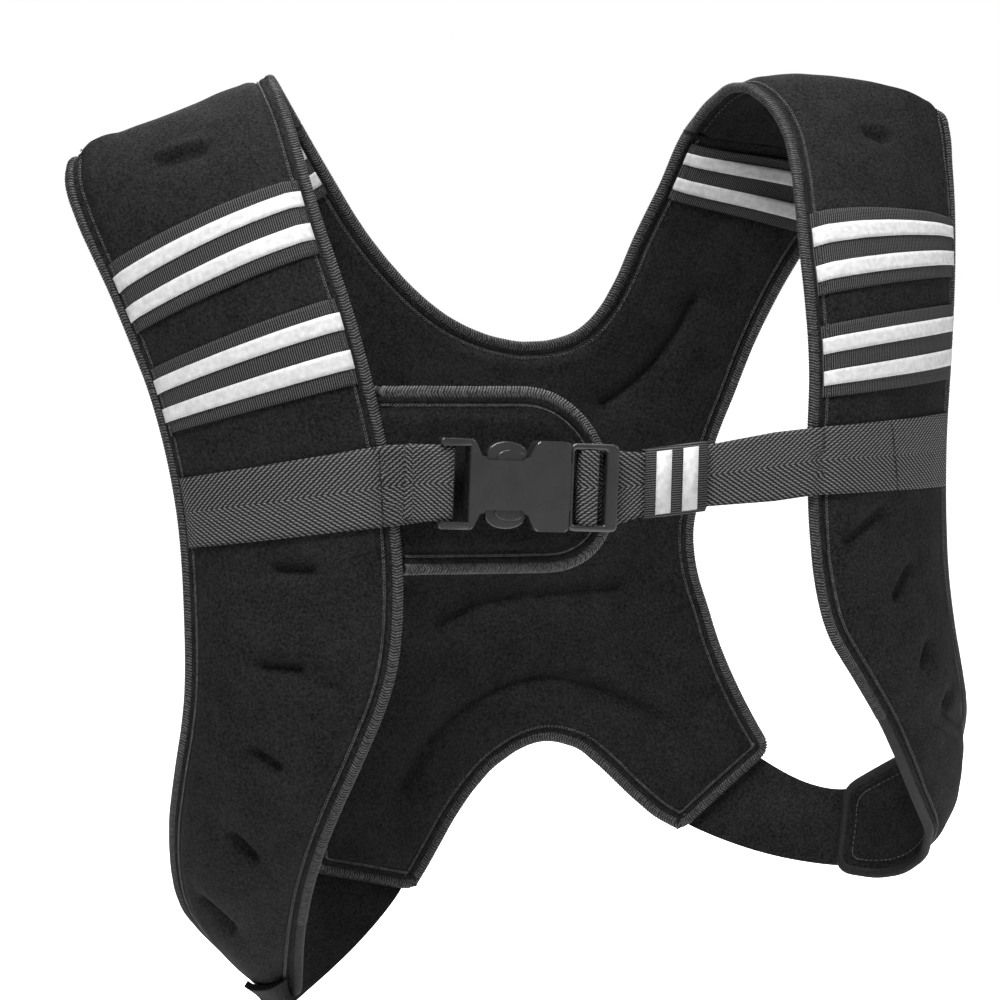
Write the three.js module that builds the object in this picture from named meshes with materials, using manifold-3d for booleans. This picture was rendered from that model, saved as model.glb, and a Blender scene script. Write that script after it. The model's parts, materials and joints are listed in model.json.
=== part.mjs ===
import * as THREE from 'three';
import Module from 'manifold-3d';
import { mergeVertices } from 'three/addons/utils/BufferGeometryUtils.js';

// A padded running vest: two front panels go over the shoulders into a cross-shaped back,
// a buckled chest strap closes the front and two elastic straps join the lower ends.
// Millimetres. +X is the right of someone who faces the vest, -Y its front, +Z up.
// The origin is between the shoulders, level with the crest of the shoulder straps.

// Size of the worn shape
const SHOULDER_HALF = 240;
const CHEST_DEPTH = 90;
const BACK_DEPTH = 85;
const BODY_DROP = 450;

// Padding
const PAD_THICKNESS = 14;
const PAD_CROWN = 8;
const RIM_THICKNESS = 4.4;
const RIM_WIDTH = 22;
const RIM_STEP = 8;
const ROW_SPACING = 16;
const FIT_GAP = 0.35;

// Bound edges
const EDGING_RADIUS = 2.8;
const EDGING_GAP = 0.9;
const EDGING_SIDES = 5;
const CORNER_STEPS = 3;
const EDGING_BAND = 2 * EDGING_RADIUS + EDGING_GAP;
const OUTLINE_INSET = 3.2;

// Reflective tape on the shoulder straps
const TAPE_WIDTH = 38;
const TAPE_THICKNESS = 1.1;
const STRIP_WIDTH = 8;
const STRIP_PITCH = 17;
const STRIP_THICKNESS = 0.5;
const INNER_TAPE_SHARE = 0.35;

// Chest strap
const WEBBING_WIDTH = 37;
const WEBBING_THICKNESS = 1.6;
const WEBBING_LINES = 4;
const LOOP_RETURN = 20;
const KEEPER_LENGTH = 33;
const KEEPER_WALL = 1.1;
const KEEPER_SHARE = 0.29;
const KEEPER_NARROWING = 0.85;

// Side-release buckle, along the strap (length), across it (height) and through it (depth)
const BUCKLE_SHARE = 0.3;
const BUCKLE_STANDOFF = 15;
const BUCKLE_SAG = 5;
const BUCKLE_TURN = 7;
const BUCKLE_WALL = 3;
const BUCKLE_DEPTH = 12;
const FRAME_DEPTH = 7;
const BODY_LENGTH = 51;
const NOTCH_LENGTH = 30;
const NOTCH_DEPTH = 10;
const NOTCH_SLOPE = 5;
const NOTCH_INSET = 2;
const LOOP_BAR = 3.2;
const LOOP_SLOT = 8.6;
const MALE_SHOULDER = 2.2;
const LADDER_SLOT = 5;
const LADDER_BAR = 6.4;
const LADDER_BAR_DEPTH = 3.4;
const END_BAR = 7;
const PRONG_HEIGHT = 5;
const PRONG_REACH = 34;
const TONGUE_HEIGHT = 8;

// Pad behind the buckle
const FLAP_LENGTH = 106;
const FLAP_SLOPE = 9;
const FLAP_TUCK = 16;
const FLAP_HEIGHT = 77;
const FLAP_CORNER = 32;
const FLAP_THICKNESS = 5;
const FLAP_RIM = 3.2;
const FLAP_SEW = 14;
const FLAP_EDGING_GAP = 0.2;

// Side straps
const SIDE_STRAP_THICKNESS = 4;
const SIDE_STRAP_OVERLAP = 13;
const SIDE_STRAP_EASE = 0.8;
const SIDE_STRAP_SAG = 5;

function table(columns, rows) {
  return rows.map((row) => Object.fromEntries(columns.map((name, index) => [name, row[index]])));
}

// Each side is one strip, from the end of a leg of the back over the shoulder to the front hem.
// Its sections run from the inner to the outer bound edge. Side is a share of SHOULDER_HALF,
// front a share of CHEST_DEPTH or, where negative, of BACK_DEPTH, and drop of BODY_DROP.
const SECTION_COLUMNS = [
  'name', 'innerSide', 'innerFront', 'innerDrop', 'outerSide', 'outerFront', 'outerDrop', 'crown',
];

// Where both sides meet on the centre line, with side to the right, and the arm-hole edge there
const WEB_COLUMNS = ['name', 'side', 'front', 'drop', 'armSide', 'armFront', 'armDrop'];
const WEB = table(WEB_COLUMNS, [
  ['arch', 0.012, -1.00, 0.779, 0.440, -0.94, 0.643],
  ['waist', 0.015, -0.99, 0.667, 0.416, -0.93, 0.591],
  ['spine', 0.020, -0.95, 0.520, 0.415, -0.92, 0.534],
  ['blades', 0.032, -0.89, 0.366, 0.449, -0.89, 0.478],
  ['scoop', 0.032, -0.86, 0.294, 0.483, -0.86, 0.423],
]);

function webRows(side) {
  return WEB.map((row) => [
    row.name, side * row.side, row.front, row.drop, row.armSide, row.armFront, row.armDrop, 0,
  ]);
}

const LEFT_SECTIONS = table(SECTION_COLUMNS, [
  ['leg end', 0.320, -0.96, 0.943, 0.538, -0.94, 0.909, 0.0],
  ['leg', 0.272, -0.98, 0.910, 0.535, -0.94, 0.845, 0.3],
  ['thigh', 0.204, -0.99, 0.859, 0.508, -0.94, 0.775, 0.3],
  ['crotch', 0.108, -0.99, 0.806, 0.472, -0.94, 0.700, 0.2],
  ...webRows(-1),
  ['collar', 0.108, -0.85, 0.266, 0.525, -0.82, 0.375, 0.1],
  ['yoke', 0.216, -0.80, 0.220, 0.580, -0.77, 0.300, 0.3],
  ['strap', 0.326, -0.74, 0.146, 0.660, -0.70, 0.220, 0.5],
  ['nape', 0.405, -0.63, 0.075, 0.745, -0.60, 0.150, 0.6],
  ['seam', 0.475, -0.49, 0.012, 0.850, -0.45, 0.095, 0.5],
  ['crest', 0.562, 0.00, -0.038, 0.988, 0.00, 0.042, 0.3],
  ['brow', 0.562, 0.37, 0.008, 1.004, 0.13, 0.078, 0.8],
  ['tape 1', 0.543, 0.72, 0.125, 0.935, 0.31, 0.206, 1.0],
  ['tape 2', 0.497, 0.92, 0.263, 0.880, 0.40, 0.318, 1.0],
  ['webbing', 0.459, 1.01, 0.428, 0.852, 0.44, 0.438, 0.9],
  ['ribs', 0.463, 1.04, 0.549, 0.856, 0.44, 0.565, 0.9],
  ['bend', 0.493, 1.02, 0.637, 0.868, 0.37, 0.656, 0.9],
  ['flank', 0.558, 0.89, 0.721, 0.895, 0.20, 0.743, 1.0],
  ['hip', 0.621, 0.67, 0.803, 0.906, 0.00, 0.815, 1.0],
  ['turn', 0.657, 0.39, 0.884, 0.884, -0.24, 0.903, 0.9],
  ['curl', 0.662, 0.06, 0.960, 0.798, -0.42, 0.969, 0.7],
  ['hem', 0.654, -0.24, 1.027, 0.709, -0.54, 1.022, 0.0],
]);
const RIGHT_SECTIONS = table(SECTION_COLUMNS, [
  ['leg end', 0.349, -0.96, 0.913, 0.570, -0.94, 0.828, 0.0],
  ['leg', 0.278, -0.98, 0.887, 0.530, -0.94, 0.785, 0.3],
  ['thigh', 0.194, -0.99, 0.836, 0.490, -0.94, 0.735, 0.3],
  ['crotch', 0.106, -0.99, 0.790, 0.458, -0.94, 0.685, 0.2],
  ...webRows(1),
  ['collar', 0.164, -0.84, 0.288, 0.525, -0.82, 0.375, 0.1],
  ['yoke', 0.245, -0.79, 0.250, 0.580, -0.77, 0.310, 0.3],
  ['strap', 0.327, -0.73, 0.168, 0.660, -0.70, 0.235, 0.5],
  ['nape', 0.381, -0.63, 0.112, 0.735, -0.60, 0.175, 0.6],
  ['seam', 0.435, -0.47, 0.046, 0.830, -0.45, 0.095, 0.6],
  ['crest', 0.502, 0.00, 0.000, 0.968, 0.00, 0.045, 1.0],
  ['brow', 0.552, 0.34, 0.052, 0.969, 0.13, 0.121, 1.0],
  ['tape 1', 0.514, 0.80, 0.215, 0.940, 0.27, 0.214, 1.0],
  ['tape 2', 0.495, 0.95, 0.334, 0.900, 0.38, 0.323, 1.0],
  ['webbing', 0.466, 1.01, 0.441, 0.859, 0.43, 0.452, 0.9],
  ['ribs', 0.457, 1.04, 0.566, 0.843, 0.44, 0.583, 0.9],
  ['bend', 0.481, 1.02, 0.636, 0.852, 0.42, 0.656, 0.9],
  ['flank', 0.544, 0.93, 0.689, 0.888, 0.31, 0.745, 1.0],
  ['hip', 0.634, 0.73, 0.758, 0.924, 0.05, 0.802, 1.0],
  ['turn', 0.725, 0.47, 0.840, 0.928, -0.19, 0.849, 1.2],
  ['curl', 0.838, 0.00, 0.944, 0.866, -0.40, 0.842, 1.5],
  ['tuck', 0.780, -0.28, 0.982, 0.785, -0.56, 0.866, 0.8],
  ['hem', 0.674, -0.52, 0.975, 0.731, -0.65, 0.884, 0.0],
]);

// Dents sewn through the padding. From and share place a dent's centre between two sections,
// across is its place from the inner to the outer edge, lengths are shares of TAPE_WIDTH, depth
// a share of PAD_THICKNESS, and turn is in degrees towards the hem on the outer side.
const DENT_COLUMNS = ['from', 'share', 'across', 'length', 'width', 'depth', 'turn'];
const LEFT_DENTS = table(DENT_COLUMNS, [
  ['crest', 0.00, 0.42, 0.95, 0.70, 0.35, 0],
  ['crest', 0.70, 0.52, 0.62, 0.24, 0.26, 0],
  ['ribs', -0.12, 0.52, 0.55, 0.26, 0.30, 0],
  ['bend', -0.05, 0.55, 0.60, 0.26, 0.32, 0],
  ['flank', 0.15, 0.58, 0.42, 0.26, 0.36, -22],
  ['hip', 0.10, 0.60, 0.38, 0.26, 0.36, -26],
  ['turn', 0.10, 0.62, 0.42, 0.26, 0.32, -30],
]);
const RIGHT_DENTS = table(DENT_COLUMNS, [
  ['crest', 0.60, 0.50, 0.40, 0.22, 0.22, 0],
  ['webbing', 0.55, 0.50, 0.60, 0.26, 0.30, 14],
  ['ribs', 0.35, 0.62, 0.55, 0.26, 0.32, 14],
  ['flank', 0.05, 0.66, 0.40, 0.26, 0.34, 26],
  ['hip', 0.10, 0.62, 0.36, 0.26, 0.34, 30],
]);

// Channels sewn into the inner face of the back: points as shares of SHOULDER_HALF and BODY_DROP.
const CHANNEL_DEPTH_SHARE = 0.3;
const CHANNEL_WIDTH = 8;
const CHANNEL_COLUMNS = ['side', 'drop'];
const ARCH_CHANNEL = table(CHANNEL_COLUMNS, [
  [-0.314, 0.835], [-0.290, 0.770], [-0.200, 0.705], [-0.060, 0.672],
  [0.060, 0.672], [0.200, 0.700], [0.290, 0.745], [0.326, 0.785],
]);
const SPINE_CHANNEL = table(CHANNEL_COLUMNS, [
  [-0.190, 0.628], [-0.110, 0.588], [0.040, 0.576], [0.165, 0.582], [0.240, 0.606],
]);

const up = new THREE.Vector3(0, 0, 1);
const down = new THREE.Vector3(0, 0, -1);

function lerp(a, b, share) {
  return new THREE.Vector3().lerpVectors(a, b, share);
}

function moved(point, direction, distance) {
  return point.clone().addScaledVector(direction, distance);
}

function between(from, to) {
  return new THREE.Vector3().subVectors(to, from);
}

function crossed(a, b) {
  return new THREE.Vector3().crossVectors(a, b).normalize();
}

function smoothCurve(points) {
  return new THREE.CatmullRomCurve3(points, false, 'centripetal');
}

// Surface made of four-cornered faces, closed by whoever adds them.
class Skin {
  constructor() {
    this.corners = [];
  }

  quad(a, b, c, d, flip) {
    const ring = flip ? [a, d, c, b] : [a, b, c, d];
    this.corners.push(ring[0], ring[1], ring[2], ring[0], ring[2], ring[3]);
  }

  sheet(rows, flip) {
    for (let i = 0; i < rows.length - 1; i += 1) this.band(rows[i], rows[i + 1], flip);
  }

  band(first, second, flip) {
    for (let k = 0; k < first.length - 1; k += 1) {
      this.quad(first[k], first[k + 1], second[k + 1], second[k], flip);
    }
  }

  cap(ring, flip) {
    for (let k = 1; k < ring.length - 1; k += 1) {
      const corners = [ring[0], ring[k], ring[k + 1]];
      this.corners.push(...(flip ? corners.reverse() : corners));
    }
  }

  volume() {
    let sum = 0;
    for (let k = 0; k < this.corners.length; k += 3) {
      sum += this.corners[k].dot(this.corners[k + 1].clone().cross(this.corners[k + 2])) / 6;
    }
    return sum;
  }

  geometry() {
    const ordered = this.volume() < 0 ? this.corners.slice().reverse() : this.corners;
    const merged = new THREE.BufferGeometry().setFromPoints(ordered);
    return mergeVertices(merged, 1e-4);
  }
}

// Closed sheet between two grids of the same rows and columns.
function sheetSolid(outside, inside) {
  const skin = new Skin();
  addSheet(skin, outside, inside, false, () => true);
  return skin.geometry();
}

function addSheet(skin, outside, inside, flip, isOpenRow) {
  const last = outside[0].length - 1;
  skin.sheet(outside, flip);
  skin.sheet(inside, !flip);
  skin.band(outside[0], inside[0], !flip);
  skin.band(outside.at(-1), inside.at(-1), flip);
  for (let i = 0; i < outside.length - 1; i += 1) {
    skin.quad(outside[i][last], outside[i + 1][last], inside[i + 1][last], inside[i][last], !flip);
    if (isOpenRow(i)) {
      skin.quad(outside[i][0], outside[i + 1][0], inside[i + 1][0], inside[i][0], flip);
    }
  }
}

// Round bead along frames that give a point on an edge, the way out of the edge and the normal.
function beadSolid(frames, gap) {
  const rings = frames.map(({ point, out, normal }) => {
    const centre = moved(point, out, gap + EDGING_RADIUS);
    return Array.from({ length: EDGING_SIDES }, (_, k) => {
      const angle = (2 * Math.PI * k) / EDGING_SIDES;
      const outward = moved(centre, out, EDGING_RADIUS * Math.cos(angle));
      return moved(outward, normal, EDGING_RADIUS * Math.sin(angle));
    });
  });
  const skin = new Skin();
  rings.slice(1).forEach((ring, k) => {
    skin.band([...rings[k], rings[k][0]], [...ring, ring[0]], false);
  });
  skin.cap(rings[0], true);
  skin.cap(rings.at(-1), false);
  return skin.geometry();
}

// Frames that swing round a corner from one edge's way out to the next one's.
function cornerFrames(point, normal, outFrom, outTo) {
  return Array.from({ length: CORNER_STEPS - 1 }, (_, k) => ({
    point,
    normal,
    out: lerp(outFrom, outTo, (k + 1) / CORNER_STEPS).normalize(),
  }));
}

function rimHalf(distance) {
  const rise = Math.sin((Math.PI / 2) * Math.min(distance / RIM_WIDTH, 1));
  return RIM_THICKNESS / 2 + ((PAD_THICKNESS - RIM_THICKNESS) / 2) * rise;
}

function distanceTo(lines, point) {
  const nearest = new THREE.Vector3();
  let best = Infinity;
  for (const line of lines) {
    for (let k = 0; k < line.length - 1; k += 1) {
      new THREE.Line3(line[k], line[k + 1]).closestPointToPoint(point, true, nearest);
      best = Math.min(best, nearest.distanceTo(point));
    }
  }
  return best;
}

// Moves the points of an edge inward by the width of its bead
function insetLine(points, towards) {
  return points.map((point, k) => {
    const before = points[Math.max(k - 1, 0)];
    const after = points[Math.min(k + 1, points.length - 1)];
    const tangent = between(before, after).normalize();
    const inward = towards[k].clone().addScaledVector(tangent, -towards[k].dot(tangent)).normalize();
    return moved(point, inward, OUTLINE_INSET);
  });
}

// One side of the vest: sections with an inner and an outer edge
class Strip {
  constructor(side, sections) {
    this.side = side;
    this.names = sections.map((row) => row.name);
    this.crowns = sections.map((row) => row.crown);
    this.inner = sections.map((row) => this.place(row.innerSide, row.innerFront, row.innerDrop));
    this.outer = sections.map((row) => this.place(row.outerSide, row.outerFront, row.outerDrop));
    this.last = sections.length - 1;
    const inward = this.inner.map((point, k) => between(this.outer[k], point));
    this.outerCurve = smoothCurve(insetLine(this.outer, inward));
  }

  place(sideShare, frontShare, dropShare) {
    const depth = frontShare > 0 ? CHEST_DEPTH : BACK_DEPTH;
    const sideways = this.side * sideShare * SHOULDER_HALF;
    return new THREE.Vector3(sideways, -frontShare * depth, -dropShare * BODY_DROP);
  }

  // Inner edge: the arch and the neck each run on into the other side, the web between is shared
  joinInner(other) {
    const arch = this.at('arch');
    const scoop = this.at('scoop');
    const outward = (strip, k) => between(strip.inner[k], strip.outer[k]);
    const run = (strip, from, to) => Array.from({ length: to - from }, (_, k) => from + k).map((k) => ({
      point: strip.inner[k], towards: outward(strip, k),
    }));
    const inset = (list) => {
      const points = list.map((row) => row.point);
      return smoothCurve(insetLine(points, list.map((row) => row.towards)));
    };
    const apex = { point: this.inner[arch], towards: up };
    const dip = { point: this.inner[scoop], towards: down };
    const legs = inset([...run(this, 0, arch), apex, ...run(other, 0, arch).reverse()]);
    const far = run(other, scoop + 1, this.at('seam')).reverse();
    const neck = inset([...far, dip, ...run(this, scoop + 1, this.last + 1)]);
    const ends = [moved(apex.point, up, OUTLINE_INSET), moved(dip.point, up, -OUTLINE_INSET)];
    const centre = smoothCurve([ends[0], ...this.inner.slice(arch + 1, scoop), ends[1]]);
    const neckLast = neck.points.length - 1;
    this.innerAt = (t) => {
      if (t <= arch) return legs.getPoint(t / (2 * arch));
      if (t < scoop) return centre.getPoint((t - arch) / (scoop - arch));
      return neck.getPoint((far.length + t - scoop) / neckLast);
    };
  }

  at(name, share = 0) {
    return this.names.indexOf(name) + share;
  }

  outerAt(t) {
    return this.outerCurve.getPoint(t / this.last);
  }

  middle(t) {
    return lerp(this.innerAt(t), this.outerAt(t), 0.5);
  }

  across(t) {
    return between(this.innerAt(t), this.outerAt(t));
  }

  along(t) {
    const step = 0.05;
    const before = Math.max(t - step, 0);
    const after = Math.min(t + step, this.last);
    return between(this.middle(before), this.middle(after)).divideScalar(after - before);
  }

  normal(t) {
    return crossed(this.across(t), this.along(t)).multiplyScalar(-this.side);
  }

  // Parameter reached from t by going a distance along the middle of the strip
  reach(t, distance) {
    const steps = 8;
    let reached = t;
    for (let k = 0; k < steps; k += 1) {
      const step = distance / steps / this.along(reached).length();
      reached = THREE.MathUtils.clamp(reached + step, 0, this.last);
    }
    return reached;
  }

  crown(t) {
    const index = Math.min(Math.floor(t), this.last - 1);
    return THREE.MathUtils.lerp(this.crowns[index], this.crowns[index + 1], t - index) * PAD_CROWN;
  }

  // Parameters of rows: every mark, and even steps between marks
  stations(marks) {
    const sorted = [...new Set(marks.map((t) => Number(t.toFixed(5))))].sort((a, b) => a - b);
    const rows = [sorted[0]];
    for (let k = 1; k < sorted.length; k += 1) {
      const length = this.middle(sorted[k - 1]).distanceTo(this.middle(sorted[k]));
      const steps = Math.max(1, Math.round(length / ROW_SPACING));
      for (let n = 1; n <= steps; n += 1) {
        rows.push(THREE.MathUtils.lerp(sorted[k - 1], sorted[k], n / steps));
      }
    }
    return rows;
  }

  middleRow(t) {
    const inner = this.innerAt(t);
    const outer = this.outerAt(t);
    const width = inner.distanceTo(outer);
    const normal = this.normal(t);
    const rise = (u) => this.crown(t) * 4 * u * (1 - u);
    return columnShares(width).map((u) => moved(lerp(inner, outer, u), normal, rise(u)));
  }
}

function columnShares(width) {
  const near = Math.min(RIM_STEP / width, 0.16);
  const full = Math.min(RIM_WIDTH / width, 0.32);
  return [0, near, full, 0.42, 0.58, 1 - full, 1 - near, 1];
}

function gridNormals(middle, side) {
  return middle.map((row, i) => row.map((_, j) => {
    const above = middle[Math.max(i - 1, 0)][j];
    const below = middle[Math.min(i + 1, middle.length - 1)][j];
    const before = row[Math.max(j - 1, 0)];
    const after = row[Math.min(j + 1, row.length - 1)];
    return crossed(between(before, after), between(above, below)).multiplyScalar(-side);
  }));
}

function offsetGrid(rows, normals, distance) {
  return rows.map((row, i) => row.map((point, j) => moved(point, normals[i][j], distance(point, i, j))));
}

// How deep each dent presses a point in
function dentDepth(strip, dents, point) {
  return dents.reduce((sum, dent) => {
    const t = strip.at(dent.from, dent.share);
    const across = strip.across(t).normalize();
    const along = strip.along(t).normalize();
    const centre = moved(strip.innerAt(t), strip.across(t), dent.across);
    const angle = THREE.MathUtils.degToRad(dent.turn);
    const offset = between(centre, point);
    const sideways = offset.dot(across);
    const down = offset.dot(along);
    const length = (sideways * Math.cos(angle) - down * Math.sin(angle)) / (dent.length * TAPE_WIDTH);
    const width = (sideways * Math.sin(angle) + down * Math.cos(angle)) / (dent.width * TAPE_WIDTH);
    return sum + dent.depth * PAD_THICKNESS * Math.exp(-length * length - width * width);
  }, 0);
}

// The rows that bound a tape and its two reflective strips
function tapeMarks(strip, centre) {
  const half = TAPE_WIDTH / 2;
  const edges = [-half, half];
  for (const place of [-STRIP_PITCH / 2, STRIP_PITCH / 2]) {
    edges.push(place - STRIP_WIDTH / 2, place + STRIP_WIDTH / 2);
  }
  return edges.sort((a, b) => a - b).map((distance) => strip.reach(centre, distance));
}

function webbingMarks(strip) {
  const centre = strip.at('webbing');
  return Array.from({ length: WEBBING_LINES }, (_, k) => (
    strip.reach(centre, WEBBING_WIDTH * (k / (WEBBING_LINES - 1) - 0.5))
  ));
}

function rowIndex(rows, t) {
  return rows.reduce((best, row, k) => (Math.abs(row - t) < Math.abs(rows[best] - t) ? k : best), 0);
}

// Rows of the grid beside the arch and the scoop, in sections of the strip
const ARCH_ROWS = [-0.45, 0, 0.16, 0.42];
const SCOOP_ROWS = [-0.65, -0.3, 0, 0.5];

// One side's strip with the rows that all that is sewn on it follows
class Side {
  constructor(side, strip, dents) {
    this.side = side;
    this.strip = strip;
    this.dents = dents;
    this.upperTape = tapeMarks(strip, strip.at('tape 1'));
    this.lowerTape = tapeMarks(strip, strip.at('tape 2'));
    this.innerTape = tapeMarks(strip, strip.at('nape', INNER_TAPE_SHARE));
    this.webbing = webbingMarks(strip);
    this.start = strip.reach(0, OUTLINE_INSET);
    this.end = strip.reach(strip.last, -OUTLINE_INSET);
    this.legSewn = strip.reach(this.start, SIDE_STRAP_OVERLAP);
    this.hemSewn = strip.reach(this.end, -SIDE_STRAP_OVERLAP);
    this.rows = strip.stations([
      this.start, this.legSewn, ...ARCH_ROWS.map((step) => strip.at('arch') + step),
      ...SCOOP_ROWS.map((step) => strip.at('scoop') + step), ...this.innerTape, strip.at('seam'),
      ...this.upperTape, ...this.lowerTape, ...this.webbing,
      ...dents.map((dent) => strip.at(dent.from, dent.share)), this.hemSewn, this.end,
    ]);
    this.middle = this.rows.map((t) => strip.middleRow(t));
    this.normals = gridNormals(this.middle, side);
  }

  row(t) {
    return rowIndex(this.rows, t);
  }

  // Both sides bend alike where they share the centre line
  shareCentre(other) {
    const { strip } = this;
    this.rows.forEach((t, i) => {
      if (t < strip.at('arch') || t > strip.at('scoop')) return;
      const k = other.row(t);
      const shared = this.normals[i][0].clone().add(other.normals[k][0]).normalize();
      this.normals[i][0] = shared;
      other.normals[k][0] = shared;
    });
  }

  // Rows of the front part, which starts a gap beyond the shoulder seam, or of the back part
  part(isFront) {
    const seam = this.row(this.strip.at('seam'));
    const from = isFront ? seam : 0;
    const to = isFront ? this.rows.length : seam + 1;
    const middle = this.middle.slice(from, to);
    if (isFront) {
      middle[0] = middle[0].map((point, j) => (
        moved(point, between(this.middle[seam - 1][j], this.middle[seam + 1][j]).normalize(), FIT_GAP)
      ));
    }
    const normals = this.normals.slice(from, to);
    const edges = [0, middle[0].length - 1].map((column) => this.edgeFrames(column).slice(from, to));
    edges.forEach((frames, e) => {
      frames[0] = { ...frames[0], point: e === 0 ? middle[0][0] : middle[0].at(-1) };
    });
    const [innerFrames, outerFrames] = edges;
    const rows = this.rows.slice(from, to);
    return { side: this, strip: this.strip, rows, middle, normals, innerFrames, outerFrames };
  }

  edgeFrames(column) {
    const { middle, normals } = this;
    const outward = column === 0 ? towardsInner : towardsOuter;
    return middle.map((row, i) => {
      const before = middle[Math.max(i - 1, 0)][column];
      const after = middle[Math.min(i + 1, middle.length - 1)][column];
      const tangent = between(before, after).normalize();
      const sideways = outward(row);
      sideways.addScaledVector(tangent, -sideways.dot(tangent)).normalize();
      const normal = normals[i][column].clone();
      normal.addScaledVector(sideways, -normal.dot(sideways)).normalize();
      return { point: row[column], out: sideways, normal };
    });
  }
}

// A front panel with its two faces
function frontPanel(side) {
  const panel = side.part(true);
  const { middle, normals, strip } = panel;
  const edges = [middle.map((row) => row[0]), middle.map((row) => row.at(-1)), middle.at(-1)];
  const depth = (point) => dentDepth(strip, side.dents, point);
  panel.half = (point) => rimHalf(distanceTo(edges, point));
  panel.outside = offsetGrid(middle, normals, (point) => panel.half(point) - depth(point));
  panel.inside = offsetGrid(middle, normals, (point) => depth(point) / 2 - panel.half(point));
  return panel;
}

function endEdgeFrames(points, normals, outward) {
  return points.map((point, j) => {
    const before = points[Math.max(j - 1, 0)];
    const after = points[Math.min(j + 1, points.length - 1)];
    const tangent = between(before, after).normalize();
    const out = outward.clone().addScaledVector(tangent, -outward.dot(tangent)).normalize();
    const normal = normals[j].clone();
    normal.addScaledVector(out, -normal.dot(out)).normalize();
    return { point, out, normal };
  });
}

const rowCentre = (row) => lerp(row[0], row.at(-1), 0.5);
const towardsInner = (row) => between(row[1], row[0]);
const towardsOuter = (row) => between(row.at(-2), row.at(-1));

// One bead down the inner edge, round the hem and up the outer edge
function frontEdging({ middle, normals, innerFrames, outerFrames }) {
  const inner = innerFrames;
  const outer = outerFrames.slice().reverse();
  const downward = between(rowCentre(middle.at(-2)), rowCentre(middle.at(-1))).normalize();
  const hem = endEdgeFrames(middle.at(-1), normals.at(-1), downward);
  return beadSolid([
    ...inner,
    ...cornerFrames(hem[0].point, hem[0].normal, inner.at(-1).out, hem[0].out),
    ...hem,
    ...cornerFrames(hem.at(-1).point, hem.at(-1).normal, hem.at(-1).out, outer[0].out),
    ...outer,
  ], EDGING_GAP);
}

// The back: both sides share the centre line between the lower arch and the neck scoop
class BackPanel {
  constructor(sides) {
    this.halves = Object.fromEntries(Object.entries(sides).map(([name, side]) => [name, side.part(false)]));
    this.arch = sides.left.strip.at('arch');
    this.scoop = sides.left.strip.at('scoop');
    this.edges = Object.values(this.halves).flatMap(({ rows, middle }) => [
      middle[0],
      middle.map((row) => row.at(-1)),
      middle.filter((_, i) => rows[i] <= this.arch).map((row) => row[0]),
      middle.filter((_, i) => rows[i] >= this.scoop).map((row) => row[0]),
    ]);
    this.channels = [ARCH_CHANNEL, SPINE_CHANNEL].map((points) => points.map(({ side, drop }) => (
      new THREE.Vector3(side * SHOULDER_HALF, 0, -drop * BODY_DROP)
    )));
    for (const half of Object.values(this.halves)) {
      const thickness = (point) => rimHalf(distanceTo(this.edges, point));
      half.outside = offsetGrid(half.middle, half.normals, thickness);
      half.inside = offsetGrid(half.middle, half.normals, (point) => this.channel(point) - thickness(point));
    }
  }

  // Depth of the sewn channels at a point of the inner face
  channel(point) {
    const distance = distanceTo(this.channels, point.clone().setY(0)) / CHANNEL_WIDTH;
    return CHANNEL_DEPTH_SHARE * PAD_THICKNESS * Math.exp(-distance * distance);
  }

  geometry() {
    const skin = new Skin();
    for (const { side, rows, outside, inside } of Object.values(this.halves)) {
      const isOpenRow = (i) => rows[i + 1] <= this.arch + 1e-6 || rows[i] >= this.scoop - 1e-6;
      addSheet(skin, outside, inside, side.side < 0, isOpenRow);
    }
    return skin.geometry();
  }

  // Frames of both sides along the arch or the neck, meeting on the centre line
  joinedFrames(isWanted, centre, out) {
    const [left, right] = [this.halves.left, this.halves.right].map((half) => (
      half.innerFrames.filter((_, i) => isWanted(half.rows[i]))
    ));
    return { left, right, meeting: { ...left[centre(left)], out } };
  }

  neckEdging() {
    const { left, right, meeting } = this.joinedFrames((t) => t >= this.scoop - 1e-6, () => 0, up);
    return beadSolid([...left.slice(1).reverse(), meeting, ...right.slice(1)], EDGING_GAP);
  }

  archEdging() {
    const isUnderArch = (t) => t <= this.arch + 1e-6;
    const { left, right, meeting } = this.joinedFrames(isUnderArch, (list) => list.length - 1, down);
    for (const list of [left, right]) {
      const away = between(list[0].point, list[1].point).normalize();
      list[0] = { ...list[0], point: moved(list[0].point, away, EDGING_GAP) };
    }
    return beadSolid([...left.slice(0, -1), meeting, ...right.slice(0, -1).reverse()], EDGING_GAP);
  }

  // Down the arm hole, round the end of the leg, to the arch
  armEdging({ middle, normals, innerFrames, outerFrames }) {
    const arm = outerFrames.slice().reverse();
    const downward = between(rowCentre(middle[1]), rowCentre(middle[0])).normalize();
    const end = endEdgeFrames(middle[0], normals[0], downward).reverse();
    return beadSolid([
      ...arm,
      ...cornerFrames(end[0].point, end[0].normal, arm.at(-1).out, end[0].out),
      ...end,
      ...cornerFrames(end.at(-1).point, end.at(-1).normal, end.at(-1).out, innerFrames[0].out),
      innerFrames[0],
    ], EDGING_GAP);
  }
}

// A flat band carried by a grid of points, lifted off it, with its own thickness
function laidSheet(points, normals, lift, thickness) {
  const top = offsetGrid(points, normals, () => lift + thickness);
  const bottom = offsetGrid(points, normals, () => lift);
  return sheetSolid(top, bottom);
}

function rowsBetween(rows, from, to) {
  return rows.map((t, i) => i).filter((i) => rows[i] >= from - 1e-4 && rows[i] <= to + 1e-4);
}

function pick(grid, indexes) {
  return indexes.map((i) => grid[i]);
}

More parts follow.
